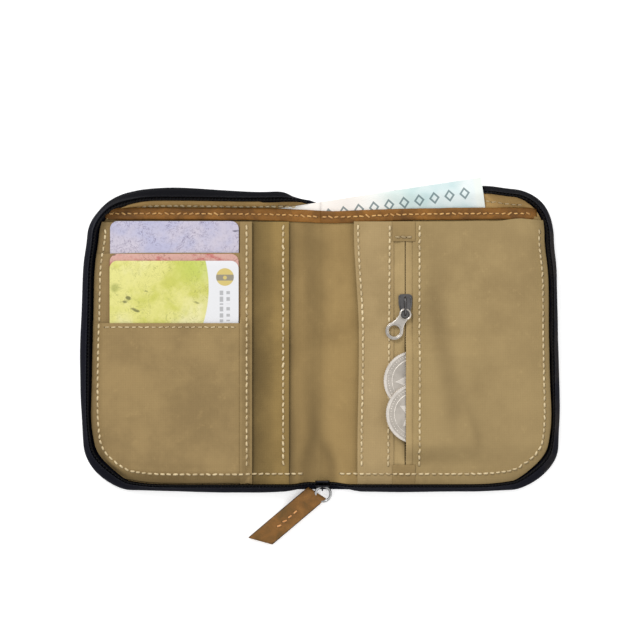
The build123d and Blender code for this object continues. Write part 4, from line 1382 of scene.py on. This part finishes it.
def corner_fullness(x, y, n, z):
    """The band's fuller outer side at the lower corners, and its belly by the cards."""
    full = 1.3 * float(bump(np.hypot(x + 88, y + 54) / 11)) if x < 0 else \
        1.0 * float(bump(np.hypot(x - 89, y + 54) / 10))
    belly = 1.3 * float(bump(np.hypot(x + 90, y - 56) / 12)) * float(bump((z - 5.2) / 2.4))
    return full * float(ease((n - 1.0) / 1.5)) + belly * float(ease((z - 3.3) / 1.3))


def coil_z(x, y):
    """Height of the main zip's coil, which falls where the band dwindles."""
    tall, _ = tail_scale(x, y)
    return 0.9 + (ZIP_TOP - 1.15 - 0.9) * tall


for sign, word, body in ((-1, "left", "left_fold"), (1, "right", "right_fold")):
    xs, ys, nxs, nys = zip_line(sign, TAIL_TOP, TAIL_LOW, 1.0)
    rings, count = [], len(BAND_SECTION)
    for px, py, nx, ny in zip(xs, ys, nxs, nys):
        tall, wide = tail_scale(px, py)
        drift = band_drift(px, py, nx)
        swell = 1 + 0.05 * float(ripple(px, py, 12.0, 73))
        for n, z in BAND_SECTION:
            out = 0.72 + (n - 0.72) * wide * swell if n > 0.72 else n
            out += drift * float(ease(np.array((n - 0.8) / 1.2)))
            out += corner_fullness(px, py, n, z)
            rings.append((px + nx * out, py + ny * out, 0.88 + (z - 0.88) * tall))
    faces = []
    for i in range(len(xs) - 1):
        faces += [(i * count + k, i * count + (k + 1) % count,
                   (i + 1) * count + (k + 1) % count, (i + 1) * count + k)
                  for k in range(count)]
    faces += [tuple(range(count)), tuple(range((len(xs) - 1) * count, len(xs) * count))]
    rings = np.array(rings)
    rings[:, 0], rings[:, 1] = soften(rings[:, 0], rings[:, 1])
    band = new_object(f"zip_tape_{word}", rings, faces, mat_band)
    place(band, body, "zip_tape", f"zip_band_{word}")

    pitch, lines, turns = 1.45, [], []
    xs, ys, nxs, nys = zip_line(sign, TAIL_TOP + 0.6, TAIL_LOW + 0.4, pitch / 14)
    for k, (px, py, nx, ny) in enumerate(zip(xs, ys, nxs, nys)):
        tall, _ = tail_scale(px, py)
        a = k * 2 * np.pi / 14
        n = 0.10 + 0.42 * math.cos(a)
        turns.append((px + nx * n, py + ny * n, coil_z(px, py) + 0.80 * tall * math.sin(a)))
    turns = np.array(turns)
    turns[:, 0], turns[:, 1] = soften(turns[:, 0], turns[:, 1])
    coil = new_object(f"zip_teeth_{word}", *tube(turns, 0.26, 5), mat_coil)
    place(coil, body, "zip_coil", f"zip_coil_{word}")
    cord = np.array([(px, py, float(coil_z(px, py))) for px, py in zip(xs[::7], ys[::7])])
    cord[:, 0], cord[:, 1] = soften(cord[:, 0], cord[:, 1])
    filler = new_object(f"zip_cord_{word}", *tube(cord, 0.30, 6), mat_coil)
    place(filler, body, "zip_coil")

# ---- Main slider, ring and leather tag -------------------------------------------------


def upright(verts, y_low):
    """Turn a plan drawing of (x, z) points into an upright plate starting at y_low."""
    turned = np.array(verts)
    return np.stack([turned[:, 0], y_low + turned[:, 2], turned[:, 1]], -1)


ZIP_Y = -(ZIP_HALF)
plate_line = rounded_rect(0.6, 4.5, 6.0, 7.0, 1.7, 8)
parts = []
for y_low in (ZIP_Y - 1.55, ZIP_Y + 0.35):
    verts, faces = slab(plate_line, 0.0, 0.5, 0.14)
    parts.append((upright(verts, y_low), faces))
verts, faces = slab(rounded_rect(0.0, 1.8, 0.6, 1.1, 0.25, 4), 0.0, 2.4, 0)
parts.append((upright(verts, ZIP_Y - 1.2), faces))
loop = [(0.6, ZIP_Y - 1.4, 1.05), (0.6, -62.5, 0.86), (0.6, -62.95, 1.1), (0.6, -63.0, 1.8),
        (0.6, -63.0, 4.4), (0.6, -62.9, 5.0), (0.6, -62.4, 5.25), (0.6, ZIP_Y - 1.4, 5.2)]
parts.append(tube(loop, 0.30, 10))
parts.append(tube([(x, ZIP_Y - 1.6, 7.0) for x in np.linspace(-1.2, 2.4, 5)], 0.22, 6))
main_slider = new_object("main_slider_cast", *joined(parts), mat_black_metal)
place(main_slider, "main_slider", "bright_metal", "main_slider")

RING = (0.9, -64.6, 1.75)
ring_turn = np.linspace(0, 2 * np.pi, 65)[:-1]
ring = new_object("pull_ring_wire",
                  *tube([(RING[0] + 3.15 * math.cos(a), RING[1] + 3.15 * math.sin(a), RING[2])
                         for a in ring_turn], 0.60, 12, closed=True), mat_nickel)
place(ring, "pull_ring", "bright_metal", "pull_ring")

TAG_TURN = math.radians(220.3)
TAG_PIVOT = np.array([-1.80, -67.09])
TAG_ALONG = np.array([math.cos(TAG_TURN), math.sin(TAG_TURN)])
TAG_ACROSS = np.array([-TAG_ALONG[1], TAG_ALONG[0]])
TAG_HALF = 4.3
TAG_OFFSET = -2.1        # it hangs off-centre on the ring
TAG_TOP = 2.35


def tag_end(v):
    """Length of the tag across its slanted end."""
    return 30.1 - 2.9 * v / TAG_HALF


def tag_place(u, v, z):
    """A place on the tag; its folded end leans as its cut end does."""
    lean = -0.30 * v * float(1 - ease(np.array((u + 1.5) / 12)))
    spot = TAG_PIVOT + TAG_ALONG * (u + lean - 0.7) + TAG_ACROSS * (v + TAG_OFFSET)
    return (spot[0], spot[1], z)


def tag_sag(u, v):
    """Small waves in the tag, none at its folded end."""
    return 0.10 * float(ripple(u, v, 7.0, 81)) * float(ease(np.array(u / 6)))


def tag_body():
    """One strip of leather folded over the ring, its two layers sewn together."""
    verts, faces = [], []
    vs = [-4.3, -4.26, -4.1, -3.7, -2.6, -1.3, 0, 1.3, 2.6, 3.7, 4.1, 4.26, 4.3]
    fold = np.linspace(np.pi / 2, 3 * np.pi / 2, 11)
    for v in vs:
        round_off = 0.16 * ease(np.array((abs(v) - 3.7) / 0.6))
        end = tag_end(v)
        us = np.concatenate([np.linspace(end, 1.4, 26), [1.0, 0.6, 0.25]])
        outer = [(u, TAG_TOP - round_off - 0.10 * float(ease(np.array((u - end + 0.8) / 0.8)))
                  + tag_sag(u, v)) for u in us]
        outer += [(1.08 * math.cos(a) * 1.35 + 0.1, 1.22 + (1.13 - round_off) * math.sin(a))
                  for a in fold]
        outer += [(u, 0.09 + round_off) for u in us[::-1]]
        inner = [(u, 1.16) for u in us[:-3]]
        inner += [(1.2, 1.45), (0.8, 1.72)]
        inner += [(0.62 * math.cos(a) * 1.1, 1.30 + 0.52 * math.sin(a)) for a in fold[1:-1]]
        inner += [(0.8, 0.86), (1.2, 1.02)]
        inner += [(u, 1.10) for u in us[:-3][::-1]]
        line = outer + inner[::-1]
        verts += [tag_place(u, v, z) for u, z in line]
    n = len(verts) // len(vs)
    for i in range(len(vs) - 1):
        faces += [(i * n + k, i * n + (k + 1) % n, (i + 1) * n + (k + 1) % n, (i + 1) * n + k)
                  for k in range(n)]
    faces += [tuple(range(n)), tuple(range((len(vs) - 1) * n, len(vs) * n))]
    return verts, faces


tag = new_object("pull_tag_leather", *tag_body(), mat_tag)
place(tag, "pull_tag", "tan_leather", "pull_tag")
stitches("pull_tag_stitches", (lambda t: tag_place(t, 0.2, TAG_TOP + tag_sag(t, 0) + 0.02),
                               9.6, 22.6), "pull_tag", "tan_leather", mat_thread_orange,
         pitch=2.9, length=2.0, radius=0.36, wobble=0.5, seed=83, holes=mat_tag_edge)
edge_line = []
for side in (-1, 1):
    for z in (0.62, 1.78, 2.16):
        run = [tag_place(u, side * (TAG_HALF - 0.02), z)
               for u in np.linspace(1.6, tag_end(side * TAG_HALF) - 0.2, 24)]
        edge_line.append(tube(run, 0.16 if z > 2 else 0.07, 6))
burnish = new_object("pull_tag_edge_finish", *joined(edge_line), mat_tag_edge)
place(burnish, "pull_tag", "tan_leather")

# ---- Banknote --------------------------------------------------------------------------

NOTE_CENTRE = np.array([3.45, 22.4])
NOTE_TURN = math.radians(8.7)
NOTE_WIDTH, NOTE_HEIGHT = 140.0, 72.0
NOTE_ROW = 52.0          # how far up the note its row of lozenges stands


def note_height(x, y):
    """The note's height: flat behind the panel, over the zip band where it sticks out."""
    t = np.clip((y - 55.4) / 6.6, 0.0, 1.0)
    rise = 0.5 * t + 0.5 * ease(t)
    crest = 4.3 - 0.2 * ease((y - 62) / 7)
    z = 2.0 + (crest - 2.0) * rise
    left = ease((x + 4.0) / 16.0)
    z = 2.0 + (z - 2.0) * (0.16 + 0.84 * left)
    return z + 0.10 * np.sin(x / 9.0) * ease((y - 50) / 10)


def banknote_print(n, colour):
    """Tints, fine guilloche lines and a plain row of lozenges."""
    x, y, _ = n.axes()
    c, s = math.cos(NOTE_TURN), math.sin(NOTE_TURN)
    along = n.math("ADD", n.times(x, c), n.times(y, s))
    across = n.minus(n.times(y, c), n.times(x, s))
    lines = n.wave(620.0, n.scaled(1, 1, 1, -NOTE_TURN), "Y", 5.0, 3.0)
    fine = n.step(lines, 0.55, 0.80)
    teal = n.times(n.step(along, 0.022, 0.052), n.step(n.noise(38.0, 3.0, 0.6), 0.30, 0.62))
    colour = n.mix(teal, colour, (0.480, 0.640, 0.620))
    blue = n.times(n.step(along, 0.040, 0.060), 0.35)
    colour = n.mix(blue, colour, (0.470, 0.620, 0.680))
    colour = n.mix(n.times(fine, 0.16), colour, (0.300, 0.420, 0.410))
    warm = n.times(band_mask(n, along, 2.0, 24.0, 0.006), 0.28)
    colour = n.mix(warm, colour, (0.760, 0.610, 0.520))
    margin = n.step(along, 0.0728, 0.0740)
    colour = n.mix(margin, colour, (0.740, 0.780, 0.740))
    edge = n.step(across, 0.0570, 0.0584)
    colour = n.mix(n.times(edge, 0.6), colour, (0.780, 0.760, 0.715))
    for k in range(10):
        du = n.math("ABSOLUTE", n.minus(along, (11.4 + 6.4 * k) * MM))
        dv = n.math("ABSOLUTE", n.minus(across, NOTE_ROW * MM))
        reach = n.math("ADD", n.times(du, 1.15), dv)
        outer = n.rest(n.step(reach, 0.00245, 0.00275))
        inner = n.rest(n.step(reach, 0.00135, 0.00160))
        mark = n.times(n.minus(outer, inner), 0.80)
        colour = n.mix(mark, colour, (0.070, 0.130, 0.140))
    return colour


def paper(name, base, tint, pattern):
    """Banknote paper: fibres, a crumple and a printed pattern."""
    n = Nodes(name)
    fibre = n.noise(1600.0, 4.0, 0.7)
    clouds = n.noise(90.0, 4.0, 0.55)
    colour = n.mix(n.step(clouds, 0.3, 0.7), base, tint)
    colour = n.mix(n.times(fibre, 0.10), colour, tuple(c * 0.8 for c in base))
    colour = pattern(n, colour)
    crumple = n.noise(160.0, 3.0, 0.5)
    normal = n.bump(crumple, 0.30, 0.0004, n.bump(fibre, 0.15, 0.00005))
    return n.finish(colour, 0.78, normal)


mat_note = paper("note_paper", (0.930, 0.900, 0.850), (0.950, 0.930, 0.890), banknote_print)


def note_piece(name, x_low, x_high):
    """The part of the note between two places across the wallet."""
    c, s = math.cos(NOTE_TURN), math.sin(NOTE_TURN)
    xs = np.linspace(x_low, x_high, int((x_high - x_low) / 1.3))
    if x_high > 60:
        xs = np.unique(np.concatenate([xs, np.linspace(66.5, 70.5, 17)]))

    def span(x):
        """Lowest and highest Y of the tilted rectangle at x."""
        corners = [(NOTE_CENTRE[0] + (a * NOTE_WIDTH * c - b * NOTE_HEIGHT * s) / 2,
                    NOTE_CENTRE[1] + (a * NOTE_WIDTH * s + b * NOTE_HEIGHT * c) / 2)
                   for a, b in ((-1, -1), (1, -1), (1, 1), (-1, 1))]
        hits = []
        for i in range(4):
            (x0, y0), (x1, y1) = corners[i], corners[(i + 1) % 4]
            if min(x0, x1) - 1e-6 <= x <= max(x0, x1) + 1e-6 and abs(x1 - x0) > 1e-9:
                hits.append(y0 + (y1 - y0) * (x - x0) / (x1 - x0))
        return (min(hits), max(hits)) if len(hits) > 1 else (None, None)

    rows = [(x, *span(x)) for x in xs]
    rows = [(x, lo, hi) for x, lo, hi in rows if lo is not None and hi - lo > 0.01]
    count = 70
    t = 1 - (1 - np.linspace(0, 1, count)) ** 1.6
    upper = []
    for x, lo, hi in rows:
        ys = lo + (hi - lo) * t
        upper.append(np.stack([np.full(count, x), ys,
                               note_height(np.full(count, x), ys)], -1))
    upper = np.array(upper)
    lower = upper - (0, 0, 0.13)
    m = len(rows)
    verts = np.concatenate([upper.reshape(-1, 3), lower.reshape(-1, 3)])
    index = np.arange(m * count).reshape(m, count)
    i0, i1 = index[:-1, :-1].ravel(), index[1:, :-1].ravel()
    i2, i3 = index[1:, 1:].ravel(), index[:-1, 1:].ravel()
    base = m * count
    faces = [*zip(i0, i1, i2, i3), *zip(i0 + base, i3 + base, i2 + base, i1 + base)]
    loop = np.concatenate([index[:, 0], index[-1, 1:], index[-2::-1, -1], index[0, -2:0:-1]])
    after = np.roll(loop, -1)
    faces += [*zip(loop + base, after + base, after, loop)]
    return new_object(name, verts, faces, mat_note, keep_normals=True)


note_reach = node_box("banknote_right")[1][0]
note_low = node_box("banknote_left")[0][0]
place(note_piece("banknote_left_paper", note_low + 0.02, 0.0), "left_fold", "note_paper",
      "banknote_left", "banknote_spine")
place(note_piece("banknote_right_paper", 0.0, note_reach - 0.02), "right_fold", "note_paper",
      "banknote_right")

# ---- Boards inside the covers ----------------------------------------------------------

for sign, word in ((-1, "left"), (1, "right")):
    low, high = node_box(f"stiffener_{word}")
    near, reach = (low[0], high[0]) if sign > 0 else (-high[0], -low[0])
    line = [(sign * near, high[1]), (sign * near, low[1])]
    for a in np.linspace(-np.pi / 2, 0, 9):
        line.append((sign * (reach - 13 + 13 * math.cos(a)), low[1] + 13 + 13 * math.sin(a)))
    for a in np.linspace(0, np.pi / 2, 9):
        line.append((sign * (reach - 13 + 13 * math.cos(a)), high[1] - 13 + 13 * math.sin(a)))
    verts, faces = slab(line, low[2], high[2], 0.08)
    verts[:, 0], verts[:, 1] = soften(verts[:, 0], verts[:, 1])
    board = new_object(f"stiffener_{word}_board", verts, faces, mat_board)
    place(board, f"{word}_half", "board", f"stiffener_{word}")

# ---- Sewing ----------------------------------------------------------------------------


def top_surface(x, y):
    """Height of the uppermost cloth at a place."""
    xa, ya = np.array(float(x)), np.array(float(y))
    if y > 50.0:
        return float(lining_top(xa, ya))
    if x > COIN_PANEL_EDGE:
        return float(coin_panel_top(xa, ya))
    if x > STRIP_EDGE:
        return float(banked(node_box("coin_zip_tab_top")[1][2] + 0.30, xa, ya, 7.0, 0.5))
    if x > STRIP_NEAR:
        return float(coin_strip_top(xa, ya))
    if x > SLIP_EDGE:
        return float(inner_top(xa, ya))
    if x > CARD_EDGE:
        return float(slip_top(xa, ya))
    if x > CARD_EDGE - HEM_WIDTH:
        return float(hem_top(xa, ya))
    if y < SLOT_LOWER_TOP:
        return float(slot_lower_top(xa, ya))
    if y < SLOT_UPPER_TOP:
        return float(slot_upper_top(xa, ya))
    return float(backing_top(xa, ya))


def turned_route(side_x, high_y, low_y, radius):
    """A seam that runs down one side, turns a round corner and runs to the spine."""
    sign = math.copysign(1, side_x)
    down = high_y - (low_y + radius)
    arc = radius * math.pi / 2

    def at(t):
        if t < down:
            x, y = side_x, high_y - t
        elif t < down + arc:
            a = (t - down) / radius
            x = side_x - sign * radius * (1 - math.cos(a))
            y = low_y + radius - radius * math.sin(a)
        else:
            x, y = side_x - sign * (radius + t - down - arc), low_y
        z = top_surface(x, y) + 0.02
        moved_x, moved_y = soften(np.array(x), np.array(y))
        return (float(moved_x), float(moved_y), z)

    return at, down + arc + abs(side_x) - radius


def straight_route(x0, y0, x1, y1, height=top_surface):
    """A straight seam from one place to another, and its length."""
    length = math.hypot(x1 - x0, y1 - y0)

    def at(t):
        x, y = x0 + (x1 - x0) * t / length, y0 + (y1 - y0) * t / length
        moved_x, moved_y = soften(np.array(x), np.array(y))
        return (float(moved_x), float(moved_y), height(x, y) + 0.02)

    return at, length


def sew(name, route, body, seed, start=0.0, end=None, **details):
    """Stitches along a route in the wallet's cream thread."""
    at, length = route
    stitches(name, (at, start, length if end is None else end), body, "khaki_canvas",
             details.pop("material", mat_thread), seed=seed, holes=mat_hole, **details)


SEW_LOW = -54.4          # where the upright seams meet the lower one
left_seam = turned_route(-92.5, 48.6, -55.9, 12.6)
right_seam = turned_route(92.8, 48.6, -55.9, 12.8)
sew("seam_left", left_seam, "left_fold", 91, end=left_seam[1] - 5.2)
sew("seam_right", right_seam, "right_fold", 92, end=right_seam[1] - 6.5)
sew("seam_back_left", straight_route(-79, 56.9, -9, 56.9), "left_fold", 93)
sew("seam_back_right", straight_route(66, 56.9, 87, 56.9), "right_fold", 94, radius=0.22)
sew("slip_stitches", straight_route(-15.9, 48.8, -15.9, SEW_LOW,
                                    lambda x, y: top_surface(-15.9, y)), "left_half", 95)
sew("card_edge_stitches", straight_route(-31.2, 48.8, -31.2, SEW_LOW), "left_half", 96)
sew("slot_stitches", straight_route(-90.5, 5.6, -35.0, 5.6), "left_half", 97, radius=0.24)
sew("strip_stitches", (lambda t: (17.35 + float(strip_run(48.8 - t)), 48.8 - t,
                                  top_surface(17.6, 48.8 - t) + 0.02), 103.2), "right_half", 98)
sew("strip_edge_stitches", straight_route(28.9, 48.6, 28.2, SEW_LOW), "right_half", 99)
sew("coin_panel_stitches", straight_route(41.4, 48.6, 41.2, SEW_LOW), "right_half", 100)
sew("coin_tab_stitches", straight_route(31.0, 43.4, 38.6, 43.4), "right_half", 101, pitch=2.4,
    material=mat_thread_khaki)

# ---- Floor, light and camera -----------------------------------------------------------


def floor_material():
    """White seamless paper with a faint tooth."""
    n = Nodes("floor_paper")
    tooth = n.noise(900.0, 3.0, 0.6)
    colour = n.mix(n.times(tooth, 0.02), (0.90, 0.90, 0.90), (0.86, 0.86, 0.86))
    return n.finish(colour, 0.9, n.bump(tooth, 0.05, 0.00005),
                    Emission_Color=(1.0, 1.0, 1.0, 1.0), Emission_Strength=0.35)


floor = new_object("floor", [(-3000, -3000, -0.02), (3000, -3000, -0.02),
                             (3000, 3000, -0.02), (-3000, 3000, -0.02)], [(0, 1, 2, 3)],
                   floor_material(), smooth=False)

world = bpy.data.worlds.new("studio")
world.use_nodes = True
world.node_tree.nodes["Background"].inputs["Color"].default_value = (1.0, 1.0, 1.0, 1.0)
world.node_tree.nodes["Background"].inputs["Strength"].default_value = 0.80
bpy.context.scene.world = world


def soft_light(name, place_m, aim_m, size, watts):
    """A large square soft box."""
    lamp = bpy.data.lights.new(name, "AREA")
    lamp.shape = "SQUARE"
    lamp.size = size
    lamp.energy = watts
    holder = bpy.data.objects.new(name, lamp)
    bpy.context.scene.collection.objects.link(holder)
    holder.location = place_m
    way = np.array(aim_m, float) - np.array(place_m, float)
    flat = math.hypot(way[0], way[1])
    holder.rotation_euler = (math.atan2(flat, -way[2]), 0,
                             math.atan2(way[1], way[0]) - math.pi / 2)
    return holder


soft_light("key_light", (-0.55, 0.75, 0.95), (0, 0, 0), 0.45, 9.0)
soft_light("fill_light", (0.8, -0.3, 1.0), (0, 0, 0), 0.9, 3.0)

camera_data = bpy.data.cameras.new("camera")
camera_data.lens = 134.4
camera = bpy.data.objects.new("camera", camera_data)
camera.location = (-0.0004, 0.0086, 1.008)
bpy.context.scene.collection.objects.link(camera)
bpy.context.scene.camera = camera

bpy.context.scene.view_settings.view_transform = "Standard"
